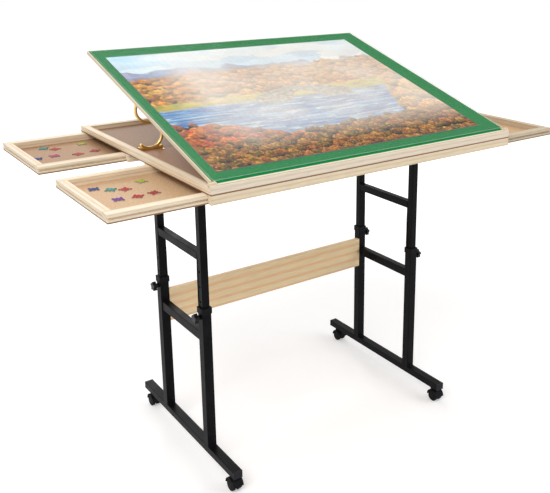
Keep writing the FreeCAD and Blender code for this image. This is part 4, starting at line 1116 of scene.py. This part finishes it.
# Pressed hardboard is an even brown with a mottle of fibre. The drawers' floors are lighter than the tray's,
# whose darker tones are painted shade from the board above, the front one redder and the rear one greyer.
HARDBOARD_LIGHT = Hardboard("hardboard, pressed, light", dark="#BC9872", light="#D8B58E")
HARDBOARD_DARK = Hardboard("hardboard, pressed, dark", dark="#9B7756", light="#B6906C")
HARDBOARD_FRONT_SHADED = Hardboard("hardboard, pressed, reddish, painted shade", dark="#9C775A", light="#B98F6E")
HARDBOARD_REAR_SHADED = Hardboard("hardboard, pressed, greyish, painted shade", dark="#82644A", light="#9D7C60")
# Needled felt is a deep matt green without shine.
FELT = Felt("felt, needled and dyed green")
# Printed board is in strong colours under a satin varnish, and grey where it is cut.
LOOSE_CARD = LooseCard("puzzle board, printed and die-cut, loose")
# Gold plating makes the props warm and bright; zinc plating leaves the screws and pins a cool grey.
GOLD = PlatedSteel("steel rod, gold plated")
ZINC = PlatedSteel("steel, stamped and zinc plated", dark="#9BA0A4", light="#C9CDD0", rough=0.45)


def dress(node: str, finish: Finish) -> None:
    """Gives a CAD node a finish.

    Args:
        node: the node's name.
        finish: what its surface is.
    """
    for slot in frame["nodes"][node].material_slots:
        slot.link = "OBJECT"
        slot.material = material(finish)
    LOG.info("%s: %s", node, finish.title)


# ---------------------------------------------------------------- meshes


@dataclass
class Piece:
    """A new piece of the model: its name, the body that it rides on, its slot, which is not used, and its
    finish.
    """

    name: str
    body: str
    slot: str
    finish: Finish

    def make(self, points: np.ndarray, faces: Faces, smooth: bool = False) -> bpy.types.Object:
        """Makes the mesh and its object, and lets it ride on its body.

        Args:
            points: the vertices in metres, in the table's frame, one row each.
            faces: the vertex numbers of each face, counter-clockwise from outside.
            smooth: whether the faces are shaded as one smooth surface.

        Returns:
            The object.
        """
        mesh = bpy.data.meshes.new(self.name)
        mesh.from_pydata(points.tolist(), [], faces)
        mesh.materials.append(material(self.finish))
        mesh.polygons.foreach_set("use_smooth", np.full(len(mesh.polygons), smooth))
        mesh.update()
        piece = bpy.data.objects.new(self.name, mesh)
        bpy.context.scene.collection.objects.link(piece)
        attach(piece, self.body)
        LOG.info("%s: %d faces on %s", self.name, len(mesh.polygons), self.body)
        return piece


def grid_faces(rows: int, columns: int) -> np.ndarray:
    """The quads of a grid of points that is stored row by row.

    Args:
        rows: how many rows of points.
        columns: how many points in a row.

    Returns:
        Four vertex numbers for each quad, as an array of rows - 1 by columns - 1 by 4.
    """
    number = np.arange(rows * columns).reshape(rows, columns)
    return np.stack([number[:-1, :-1], number[:-1, 1:], number[1:, 1:], number[1:, :-1]], axis=-1)


# ---------------------------------------------------------------- legs


@dataclass
class WeldBeads:
    """Weld beads, powder coated with the tubes: short round ridges with the ripples of the weld pool.

    `ripple` is a ripple's height as a share of the radius, and `bluntness` is how steeply the ends close.
    """

    radius: float = 1.7 * MM
    ripple: float = 0.1
    ripple_length: float = 2.2 * MM
    bluntness: int = 6
    rings: int = 26
    sides: int = 10

    def surface(self, starts: np.ndarray, ends: np.ndarray) -> tuple[np.ndarray, Faces]:
        """All beads at once.

        A point is start + t (end - start) + r(t) (cos a n + sin a b), where n and b stand square to the bead.
        The radius r(t) = R sqrt(1 - |2t - 1|^bluntness) (1 + ripple cos(2 pi k t)) closes both ends and has k
        ripples.

        Args:
            starts: one end of each bead, in metres.
            ends: the other end of each bead.

        Returns:
            The points and the faces.
        """
        t = np.linspace(0.0, 1.0, self.rings)
        angle = np.arange(self.sides) * 2 * math.pi / self.sides
        run = ends - starts
        length = np.linalg.norm(run, axis=1, keepdims=True)
        along = run / length
        helper = np.where(np.abs(along[:, 2:]) > UPRIGHT, [[1.0, 0.0, 0.0]], [[0.0, 0.0, 1.0]])
        normal = np.cross(along, helper)
        normal /= np.linalg.norm(normal, axis=1, keepdims=True)
        across = np.cross(along, normal)
        turns = length / self.ripple_length
        swell = 1 + self.ripple * np.cos(2 * math.pi * turns * t)
        radius = self.radius * np.sqrt(1 - np.abs(2 * t - 1) ** self.bluntness) * swell
        round_way = np.cos(angle)[:, None, None] * normal + np.sin(angle)[:, None, None] * across
        points = (
            starts[:, None, None] + t[None, :, None, None] * run[:, None, None]
            + radius[:, :, None, None] * round_way.transpose(1, 0, 2)[:, None]
        )
        number = np.arange(len(starts) * self.rings * self.sides).reshape(-1, self.rings, self.sides)
        number[:, 0] = number[:, 0, :1]
        number[:, -1] = number[:, -1, :1]
        here, there = number, np.roll(number, -1, axis=2)
        quads = np.stack([here[:, :-1], there[:, :-1], there[:, 1:], here[:, 1:]], axis=-1).reshape(-1, 4)
        faces = [list(dict.fromkeys(face)) for face in quads.tolist()]
        return points.reshape(-1, 3), faces


@dataclass
class Legs:
    """The steel legs: floor bars, outer posts, crossbars, inner posts and rungs, with their plastic trim.

    A rung reaches `rung_half` to the front and the rear of the middle, and lies more than `rung_below_top`
    below the top of its frame.
    """

    beads: WeldBeads
    rung_half: float = 112 * MM
    rung_below_top: float = 60 * MM
    tolerance: float = 0.2 * MM

    def dress(self) -> None:
        """Finishes the CAD nodes of the legs."""
        steel = ["stretcher_plates"]
        steel += [f"{side}_{name}" for side in SIDES for name in ("floor_bar", "crossbar", "upper_frame")]
        steel += [f"{corner}_outer_post" for corner in CORNERS]
        for node in steel:
            dress(node, POWDER_COAT)
        for corner in CORNERS:
            dress(f"{corner}_clamp_knob", KNOB_PLASTIC)
            dress(f"{corner}_caster_housing", PLASTIC)
            dress(f"{corner}_caster_wheels", PLASTIC)
        dress("post_collars", PLASTIC)
        dress("floor_bar_plugs", PLUG_PLASTIC)
        for node in ("stretcher_screws", "top_bar_screws"):
            dress(node, ZINC)
        dress("stretcher_board", PINE_STRETCHER)

    def lower_lines(self) -> tuple[np.ndarray, np.ndarray]:
        """Where the lower frame is welded: round each crossbar's ends, and at two sides of each post's foot.

        Returns:
            The starts and the ends of the welds.
        """
        starts, ends = [], []
        for side in SIDES:
            low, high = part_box(f"{side}_crossbar")
            for y in (low.y, high.y):
                starts += [(low.x, y, high.z), (low.x, y, low.z), (low.x, y, low.z), (high.x, y, low.z)]
                ends += [(high.x, y, high.z), (high.x, y, low.z), (low.x, y, high.z), (high.x, y, high.z)]
            bar_low, bar_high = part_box(f"{side}_floor_bar")
            middle = (bar_low.x + bar_high.x) / 2
            for end in ("front", "rear"):
                low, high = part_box(f"{side}_{end}_outer_post")
                half = (high.y - low.y) / 2
                for y in (low.y, high.y):
                    starts.append((middle - half, y, bar_high.z))
                    ends.append((middle + half, y, bar_high.z))
        return np.array(starts), np.array(ends)

    def upper_lines(self) -> tuple[np.ndarray, np.ndarray]:
        """Where the upper frames are welded: round both ends of each rung, between the inner posts.

        Returns:
            The starts and the ends of the welds.
        """
        starts, ends = [], []
        for side in SIDES:
            points = node_points(f"{side}_upper_frame")
            between = np.abs(points[:, 1]) < self.rung_half + self.tolerance
            lower = points[:, 2] < points[:, 2].max() - self.rung_below_top
            rung = points[between & lower]
            low, high = rung.min(axis=0), rung.max(axis=0)
            for y in (low[1], high[1]):
                floor = [(low[0], y, low[2]), (high[0], y, low[2])]
                ring = floor + [(high[0], y, high[2]), (low[0], y, high[2])]
                starts += ring
                ends += ring[1:] + ring[:1]
        return np.array(starts), np.array(ends)

    def build(self) -> None:
        """Adds the weld beads of the lower frame and of the upper frames."""
        for name, body, lines in (
            ("lower_weld_beads", "lower_frame", self.lower_lines()),
            ("upper_weld_beads", "upper_table", self.upper_lines()),
        ):
            Piece(name, body, "black_powder_coat", POWDER_COAT).make(*self.beads.surface(*lines), smooth=True)


# ---------------------------------------------------------------- base, tray and drawers


@dataclass
class Woodwork:
    """Pine base, tray and drawers with their hardboard floors, and the tray's metal fittings.

    A drawer's floor is as wide as the drawer. The end rails' grain starts `joint` inside the side rails, whose
    inner faces lie `side_rail` inside the floor's edges.
    """

    side_rail: float = 26 * MM
    joint: float = 0.2 * MM

    def dress(self) -> None:
        """Finishes the CAD nodes, each strip with its grain along its length."""
        low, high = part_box("right_rear_drawer_floor")
        inner, outer = low.y + self.side_rail + self.joint, high.y - self.side_rail - self.joint
        # The left drawers are of the same cream pine as the tray. The right ones are a darker beige, which is
        # painted shade.
        frames = {
            "left": FramedPine("pine, planed and lacquered, framed", inner=inner, outer=outer),
            "right": FramedPine(
                "pine, planed and lacquered, framed, painted shade",
                early="#CFC0A8", late="#C4AF8E", blush="#CAB497", inner=inner, outer=outer,
            ),
        }
        finishes = {
            PINE_X: ("front_runner", "rear_runner", "tray_rear_rail", "pivot_blocks"),
            PINE_APRON: ("front_apron", "rear_apron"),
            PINE_LIP: ("tray_front_lip",),
            PINE_Y: ("cross_rail", "tray_left_rail", "tray_right_rail"),
            HARDBOARD_FRONT_SHADED: ("tray_front_floor",),
            HARDBOARD_REAR_SHADED: ("tray_rear_floor",),
            HARDBOARD_LIGHT: ("left_front_drawer_floor", "right_front_drawer_floor"),
            HARDBOARD_DARK: ("left_rear_drawer_floor", "right_rear_drawer_floor"),
            GOLD: ("left_prop", "right_prop", "prop_clips"),
            ZINC: ("pivot_pins",),
        }
        for finish, nodes in finishes.items():
            for node in nodes:
                dress(node, finish)
        for side, finish in frames.items():
            for end in ("front", "rear"):
                dress(f"{side}_{end}_drawer_rails", finish)


# The node of each drawer's loose pieces, the body that they ride on, and their printed colours.
LOOSE_PIECES = (
    ("front_loose_pieces", "left_front_drawer",
     ("#182C7C", "#128E84", "#B4141C", "#6C2290", "#B4141C", "#A3B028", "#A81219")),
    ("rear_loose_pieces", "left_rear_drawer",
     ("#128E84", "#B4141C", "#B02070", "#182C7C", "#B4141C", "#A3B028", "#A81219")),
)


@dataclass
class LoosePieces:
    """The loose puzzle pieces in one drawer, die-cut with a tab on each side, each in its own printed colour.

    The tab's half neck, its head's radius and the head's reach from the side are shares of the side's length.
    """

    node: str
    body: str
    colours: tuple[str, ...]
    neck: float = 0.11
    head: float = 0.19
    reach: float = 0.26
    opening: float = math.radians(36)
    arc_points: int = 11
    rounding: float = 0.35 * MM

    def islands(self, points: np.ndarray) -> np.ndarray:
        """Numbers the node's separate solids by letting the lowest vertex number spread over each triangle.

        Args:
            points: the node's vertices.

        Returns:
            The number of the solid that each vertex belongs to, in order of their first vertices.
        """
        mesh = frame["nodes"][self.node].data
        mesh.calc_loop_triangles()
        triangles = np.empty(len(mesh.loop_triangles) * 3, dtype=int)
        mesh.loop_triangles.foreach_get("vertices", triangles)
        merged = np.unique(np.round(points, POINT_DECIMALS), axis=0, return_inverse=True)[1].reshape(-1)
        faces = merged[triangles].reshape(-1, 3)
        label = np.arange(merged.max() + 1)
        while True:
            spread = label.copy()
            np.minimum.at(spread, faces.ravel(), np.repeat(label[faces].min(axis=1), 3))
            spread = spread[spread]
            if np.array_equal(spread, label):
                break
            label = spread
        _, start, number = np.unique(label[merged], return_index=True, return_inverse=True)
        return np.argsort(np.argsort(start))[number.reshape(-1)]

    def outline(self) -> np.ndarray:
        """The outline of one piece round its middle, counter-clockwise, one unit from tab to opposite tab.

        A side runs to its neck, round the head on an arc about a point that stands off the side by the reach,
        and on from the neck.

        Returns:
            The outline's points, one row each.
        """
        angle = np.linspace(-math.pi / 2 - self.opening, -5 * math.pi / 2 + self.opening, self.arc_points)
        x = np.concatenate([[-0.5, -self.neck], self.head * np.cos(angle), [self.neck]])
        y = -0.5 - np.concatenate([[0.0, 0.0], self.reach + self.head * np.sin(angle), [0.0]])
        turns = np.arange(4)[:, None] * math.pi / 2
        side_x, side_y = x * np.cos(turns) - y * np.sin(turns), x * np.sin(turns) + y * np.cos(turns)
        return np.stack([side_x.ravel(), side_y.ravel()], axis=-1) / (1 + 2 * (self.reach + self.head))

    def build(self) -> None:
        """Puts one piece in the place of each CAD solid, as long as it is and turned as it is.

        Each piece is a stack of three rings: the outline at its floor, the same a little below its top, and
        the outline drawn in by the rounding at its top.
        """
        points = node_points(self.node)
        solid = self.islands(points)
        outline = self.outline()
        tangent = np.roll(outline, -1, axis=0) - np.roll(outline, 1, axis=0)
        inward = np.stack([-tangent[:, 1], tangent[:, 0]], axis=-1)
        inward /= np.linalg.norm(tangent, axis=1, keepdims=True)
        placed, faces, shades = [], [], []
        count = len(outline)
        ring = np.arange(count)
        for number in range(solid.max() + 1):
            own = points[solid == number]
            low, high = own.min(axis=0), own.max(axis=0)
            long_way = np.linalg.eigh(np.cov((own[:, :2] - own[:, :2].mean(axis=0)).T))[1][:, -1]
            turn = np.array([[long_way[0], -long_way[1]], [long_way[1], long_way[0]]])
            edge = outline * np.ptp(own[:, :2] @ long_way)
            flat = np.stack([edge, edge, edge + inward * self.rounding]) @ turn.T + (low + high)[:2] / 2
            levels = np.array([low[2], high[2] - self.rounding, high[2]])
            height = np.repeat(levels[:, None, None], count, axis=1)
            placed.append(np.concatenate([flat, height], axis=-1).reshape(-1, 3))
            start = number * 3 * count
            here, there = ring + start, np.roll(ring, -1) + start
            for step in (0, count):
                quads = [here + step, there + step, there + step + count, here + step + count]
                faces += np.stack(quads, axis=-1).tolist()
            faces += [(here + 2 * count).tolist(), here[::-1].tolist()]
            shades += [linear(self.colours[number % len(self.colours)])] * (3 * count)
        pieces = Piece(f"{self.node}_printed", self.body, "printed_card", LOOSE_CARD)
        made = pieces.make(np.concatenate(placed), faces)
        colour = made.data.attributes.new(PRINT_COLOUR, "FLOAT_COLOR", "POINT")
        colour.data.foreach_set("color", np.array(shades).ravel())
        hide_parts(self.node)


# ---------------------------------------------------------------- board, felt, puzzle and cover


@dataclass
class FeltSheet:
    """The felt on the board, cut round the pivot blocks.

    It waves by the sag, over `wave_across` and `wave_up`, and its cut edge is pressed down by the rim.
    """

    space: BoardSpace
    spacing: float = 6 * MM
    sag: float = 0.06 * MM
    wave_across: float = 31 * MM
    wave_up: float = 43 * MM
    rim: float = 0.35 * MM
    rim_width: float = 1.0 * MM
    tolerance: float = 1e-6

    def lines(self, levels: np.ndarray) -> np.ndarray:
        """Grid lines through given levels: each stretch between two levels is divided evenly.

        Args:
            levels: the levels, lowest first.

        Returns:
            The levels of the lines.
        """
        stretches = [
            np.linspace(low, high, max(2, round((high - low) / self.spacing) + 1))[:-1]
            for low, high in zip(levels, levels[1:])
        ]
        return np.concatenate([*stretches, levels[-1:]])

    def build(self) -> None:
        """Lays the sheet: a grid at the felt's top, less a slow waviness and a drop within the rim's width.

        Height is top - sag (1 + sin(x / a) sin(y / b)) / 2 - rim exp(-(distance to the edge / rim width)^2).
        """
        xs, ys = (self.space.levels("board_felt", axis) for axis in (Axis.X, Axis.Y))
        bottom, top = self.space.levels("board_felt", Axis.Z)[[0, -1]]
        x, y = self.lines(xs), self.lines(ys)
        across, up = np.meshgrid(x, y)
        wave = (1 + np.sin(across / self.wave_across) * np.sin(up / self.wave_up)) / 2
        inset = np.minimum.reduce([across - x[0], x[-1] - across, up - y[0], y[-1] - up])
        notch_x, notch_y = -xs[1], ys[1]
        corner = np.maximum(notch_y - up, np.abs(across) - notch_x)
        inset = np.minimum(inset, np.where(corner > 0, np.abs(corner), inset))
        height = top - self.sag * wave - self.rim * np.exp(-((np.maximum(inset, 0) / self.rim_width) ** 2))
        points = self.space.place(np.stack([across, up, height], axis=-1).reshape(-1, 3))
        cut = (np.abs(across) >= notch_x - self.tolerance) & (up <= notch_y + self.tolerance)
        outside = cut[:-1, :-1] & cut[:-1, 1:] & cut[1:, :-1] & cut[1:, 1:]
        faces = grid_faces(len(y), len(x))[~outside].reshape(-1, 4).tolist()
        felt = Piece("felt_sheet", "board", "green_felt", FELT).make(points, faces)
        wall = felt.modifiers.new("thickness", "SOLIDIFY")
        wall.thickness = top - bottom - self.sag
        wall.offset = -1.0
        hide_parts("board_felt")


@dataclass
class JigsawPuzzle:
    """The finished puzzle: interlocking die-cut pieces, each with four edges of a tab or a blank.

    A tab's half neck, its head's radius and the head's reach are shares of the edge's length. `shift` is how
    far a tab may stand from its edge's middle, and `sizes` are the smallest and the largest tab's size.
    """

    space: BoardSpace
    columns: int = 44
    rows: int = 34
    seed: int = 7
    neck: float = 0.07
    head: float = 0.115
    reach: float = 0.17
    opening: float = math.radians(40)
    shift: float = 0.05
    sizes: tuple[float, float] = (0.88, 1.1)
    arc_points: int = 7
    bevel: float = 0.3 * MM
    dip: float = 0.3 * MM

    def edges(self, rng: np.random.Generator, shape: tuple[int, int], border: np.ndarray) -> np.ndarray:
        """Edge lines of unit length along x, each with a tab to one side.

        The line runs to the tab's neck, round its head on an arc of a circle that stands off the line by the
        reach, and on from the neck. Along the border it is straight.

        Args:
            rng: the random numbers that place the tabs and pick their sides.
            shape: rows and columns of edges.
            border: which of the edges lie on the puzzle's border.

        Returns:
            Points of the edges, without their last one, as an array of shape + (points, 2).
        """
        angle = np.linspace(-math.pi / 2 - self.opening, -5 * math.pi / 2 + self.opening, self.arc_points)
        middle = 0.5 + rng.uniform(-self.shift, self.shift, shape)[..., None]
        size = rng.uniform(*self.sizes, shape)[..., None]
        side = rng.choice([-1.0, 1.0], shape)[..., None]
        head_x = middle + size * self.head * np.cos(angle)
        head_y = side * size * (self.reach + self.head * np.sin(angle))
        zero = np.zeros_like(middle)
        line_x = np.concatenate([zero, middle - self.neck, head_x, middle + self.neck], axis=-1)
        line_y = np.concatenate([zero, zero, head_y, zero], axis=-1)
        even = np.arange(line_x.shape[-1]) / line_x.shape[-1]
        straight = border[..., None]
        return np.stack([np.where(straight, even, line_x), np.where(straight, 0.0, line_y)], axis=-1)

    def outlines(self, width: float, depth: float) -> np.ndarray:
        """The outline of every piece, counter-clockwise: front edge, right edge, rear edge and left edge.

        Args:
            width: the puzzle's width in metres.
            depth: the puzzle's depth in metres.

        Returns:
            An array of pieces by points by 2, from the puzzle's front left corner.
        """
        rng = np.random.default_rng(self.seed)
        across, up = width / self.columns, depth / self.rows
        row, column = np.mgrid[0 : self.rows + 1, 0 : self.columns]
        flat = self.edges(rng, row.shape, (row == 0) | (row == self.rows))
        flat = flat * (across, up) + np.stack([column * across, row * up], axis=-1)[:, :, None]
        row, column = np.mgrid[0 : self.rows, 0 : self.columns + 1]
        upright = self.edges(rng, row.shape, (column == 0) | (column == self.columns))[..., ::-1]
        upright = upright * (across, up) + np.stack([column * across, row * up], axis=-1)[:, :, None]
        front, rear = flat[:-1], flat[1:]
        left, right = upright[:, :-1], upright[:, 1:]
        rear_end = np.concatenate([rear[:, 1:, :1], np.full((self.rows, 1, 1, 2), (width, 0.0))], axis=1)
        rear_end[:, -1, 0, 1] = rear[:, -1, 0, 1]
        left_end = np.concatenate([left[1:, :, :1], rear[-1:, :, :1]], axis=0)
        rear_back = np.concatenate([rear_end, rear[:, :, :0:-1]], axis=2)
        left_back = np.concatenate([left_end, left[:, :, :0:-1]], axis=2)
        round_way = np.concatenate([front, right, rear_back, left_back], axis=2)
        return round_way.reshape(self.rows * self.columns, -1, 2)

    def build(self) -> None:
        """Makes the pieces on one card.

        Each outline dips to the cut, and its copy moved inwards by the bevel is the printed top. The card is
        a box below them, from the puzzle's underside to the cut's floor.
        """
        xs, ys, zs = (self.space.levels("finished_puzzle", axis)[[0, -1]] for axis in Axis)
        outline = self.outlines(xs[1] - xs[0], ys[1] - ys[0])
        tangent = np.roll(outline, -1, axis=1) - np.roll(outline, 1, axis=1)
        inward = np.stack([-tangent[..., 1], tangent[..., 0]], axis=-1)
        inward /= np.linalg.norm(inward, axis=-1, keepdims=True)
        corner = np.array([xs[0], ys[0]])
        pieces, count = outline.shape[:2]
        rings = [
            np.concatenate([flat + corner, np.full((pieces, count, 1), level)], axis=-1).reshape(-1, 3)
            for flat, level in ((outline, zs[1] - self.dip), (outline + inward * self.bevel, zs[1]))
        ]
        box_x, box_y = xs[[0, 1, 1, 0]], ys[[0, 0, 1, 1]]
        box = [np.stack([box_x, box_y, np.full(4, level)], axis=-1) for level in (zs[0], zs[1] - self.dip)]
        first = (np.arange(pieces) * count)[:, None] + np.arange(count)
        second = first + pieces * count
        bevels = np.stack([first, np.roll(first, -1, 1), np.roll(second, -1, 1), second], axis=-1)
        bevels = bevels.reshape(-1, 4).tolist()
        start = 2 * pieces * count
        ring = np.arange(4)
        sides = np.stack([ring, (ring + 1) % 4, (ring + 1) % 4 + 4, ring + 4], axis=-1) + start
        faces = bevels + second.tolist() + sides.tolist() + [(ring[::-1] + start).tolist()]
        place = tuple(self.space.place(np.array([[xs[0], ys[0], zs[0]]]))[0])
        # The varnished print is bright and satin, and each cut shows as a fine grey line.
        card = PrintedCard("puzzle board, printed and die-cut", self.space, place, float(zs[1] - zs[0]))
        points = self.space.place(np.concatenate([*rings, *box]))
        puzzle = Piece("jigsaw_puzzle", "board", "printed_card", card).make(points, faces)
        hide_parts("finished_puzzle")


@dataclass
class PuzzleBoard:
    """The tilting board with its felt, the finished puzzle and the clear cover."""

    space: BoardSpace

    def dress(self) -> None:
        """Finishes the CAD nodes of the board and the cover."""
        # Sawn birch plywood shows pale edges with thin dark plies.
        dress("board_panel", Plywood("birch plywood, sawn and sanded", self.space))
        # Cast acrylic is clear with a faint milky veil, and its sawn edges catch the light.
        dress("clear_cover", ClearAcrylic("acrylic sheet, cast and sawn", self.space))

    def build(self) -> None:
        """Adds the felt and the puzzle."""
        FeltSheet(self.space).build()
        JigsawPuzzle(self.space).build()


# ---------------------------------------------------------------- studio


@dataclass(frozen=True)
class Camera:
    """The camera: its place in millimetres, where it looks, its lens in pixels, its sensor in millimetres."""

    place: Triple = (-1156.4, -1736.3, 1292.1)
    yaw: float = -36.23
    pitch: float = -14.84
    focal: float = 778.2
    centre: tuple[float, float] = (325.0, 162.6)
    sensor: float = 36.0

    def build(self) -> None:
        """Makes the scene's camera.

        It looks along F = (-sin yaw cos pitch, cos yaw cos pitch, sin pitch), with R = F x Z to the right and
        U = R x F up. Its shift puts the lens's axis on the frame's point named centre.
        """
        yaw, pitch = math.radians(self.yaw), math.radians(self.pitch)
        ahead = Vector((-math.sin(yaw) * math.cos(pitch), math.cos(yaw) * math.cos(pitch), math.sin(pitch)))
        right = ahead.cross(Vector((0, 0, 1))).normalized()
        up = right.cross(ahead)
        data = bpy.data.cameras.new("camera")
        data.sensor_width = self.sensor
        data.lens = self.focal / FRAME_WIDTH * self.sensor
        data.shift_x = (FRAME_WIDTH / 2 - self.centre[0]) / FRAME_WIDTH
        data.shift_y = (self.centre[1] - FRAME_HEIGHT / 2) / FRAME_WIDTH
        camera = bpy.data.objects.new("camera", data)
        bpy.context.scene.collection.objects.link(camera)
        turn = Matrix((right, up, -ahead)).transposed().to_4x4()
        camera.matrix_world = Matrix.Translation(Vector(self.place) * MM) @ turn
        bpy.context.scene.camera = camera


@dataclass(frozen=True)
class Lamp:
    """A square soft lamp: its place and the side of its square in metres, and its power in watts."""

    name: str
    place: Triple
    size: float
    power: float

    def build(self, aim: Triple) -> None:
        """Hangs the lamp and turns it.

        Args:
            aim: the point that it looks at, in metres.
        """
        data = bpy.data.lights.new(self.name, "AREA")
        data.shape = "SQUARE"
        data.size = self.size
        data.energy = self.power
        lamp = bpy.data.objects.new(self.name, data)
        bpy.context.scene.collection.objects.link(lamp)
        turn = (Vector(aim) - Vector(self.place)).to_track_quat("-Z", "Y").to_matrix().to_4x4()
        lamp.matrix_world = Matrix.Translation(Vector(self.place)) @ turn


@dataclass
class Studio:
    """A white floor that keeps the shadows, soft lamps and a white world.

    The floor's glow rises from `near_glow`, within `near_radius` of the table's middle, to `far_glow`.
    """

    floor_size: float = 30.0
    floor_white: float = 0.82
    near_glow: float = 0.31
    far_glow: float = 0.66
    near_radius: float = 0.9
    far_radius: float = 2.6
    world_light: float = 0.45
    aim: Triple = (0.0, 0.0, 0.6)
    lamps: tuple[Lamp, ...] = (
        Lamp("key", (-2.4, -1.6, 3.4), 2.4, 82.0),
        Lamp("fill", (2.6, -2.2, 2.2), 2.6, 42.0),
        Lamp("back", (0.4, 2.8, 2.8), 2.4, 54.0),
    )

    def seen_directly(self, tree: Tree) -> Node:
        """One for rays from the camera, and for those that metal or clear sheet sends on; otherwise zero.

        Args:
            tree: the node tree of the floor or of the world.

        Returns:
            The node that tells.
        """
        path = add_node(tree, "ShaderNodeLightPath").outputs
        seen = path["Is Camera Ray"]
        for ray in ("Is Glossy Ray", "Is Transmission Ray"):
            seen = add_node(tree, "ShaderNodeMath", {0: seen, 1: path[ray]}, operation="MAXIMUM")
        return seen

    def floor(self) -> None:
        """A level floor: matt near-white, plus a glow that only lifts how it is seen, more so far away."""
        made = bpy.data.materials.new("studio floor, matt white paint")
        made.use_nodes = True
        tree = made.node_tree
        tree.nodes.clear()
        space = add_node(tree, "ShaderNodeTexCoord").outputs["Object"]
        away = add_node(tree, "ShaderNodeVectorMath", {0: space}, operation="LENGTH")
        lift = add_node(
            tree, "ShaderNodeMapRange",
            {"Value": away, "From Min": self.near_radius, "From Max": self.far_radius,
             "To Min": self.near_glow, "To Max": self.far_glow},
        )
        strength = add_node(
            tree, "ShaderNodeMath", {0: self.seen_directly(tree), 1: lift}, operation="MULTIPLY"
        )
        matt = add_node(tree, "ShaderNodeBsdfDiffuse", {"Color": grey(self.floor_white)})
        glow = add_node(tree, "ShaderNodeEmission", {"Color": grey(1.0), "Strength": strength})
        both = add_node(tree, "ShaderNodeAddShader", {0: matt, 1: glow})
        add_node(tree, "ShaderNodeOutputMaterial", {"Surface": both})
        half = self.floor_size / 2
        corners = [(-half, -half, 0), (half, -half, 0), (half, half, 0), (-half, half, 0)]
        mesh = bpy.data.meshes.new("floor")
        mesh.from_pydata(corners, [], [(0, 1, 2, 3)])
        mesh.materials.append(made)
        floor = bpy.data.objects.new("floor", mesh)
        bpy.context.scene.collection.objects.link(floor)

    def world(self) -> None:
        """A white world, dimmer as a light than it looks."""
        world = bpy.data.worlds.new("white studio")
        world.use_nodes = True
        tree = world.node_tree
        tree.nodes.clear()
        strength = add_node(
            tree, "ShaderNodeMapRange",
            {"Value": self.seen_directly(tree), "To Min": self.world_light, "To Max": 1.0},
        )
        back = add_node(tree, "ShaderNodeBackground", {"Color": grey(1.0), "Strength": strength})
        add_node(tree, "ShaderNodeOutputWorld", {"Surface": back})
        bpy.context.scene.world = world

    def build(self) -> None:
        """Sets the stage, the lamps and the plain view transform."""
        self.floor()
        self.world()
        for lamp in self.lamps:
            lamp.build(self.aim)
        bpy.context.scene.view_settings.view_transform = "Standard"


def main() -> None:
    """Dresses and completes the table, sub-assembly by sub-assembly."""
    logging.basicConfig(level=logging.INFO, format="%(message)s")
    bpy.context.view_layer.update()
    legs = Legs(WeldBeads())
    legs.dress()
    legs.build()
    Woodwork().dress()
    for node, body, colours in LOOSE_PIECES:
        LoosePieces(node, body, colours).build()
    board = PuzzleBoard(BoardSpace.from_frame())
    board.dress()
    board.build()
    Studio().build()
    Camera().build()


if __name__ == "__main__":
    main()
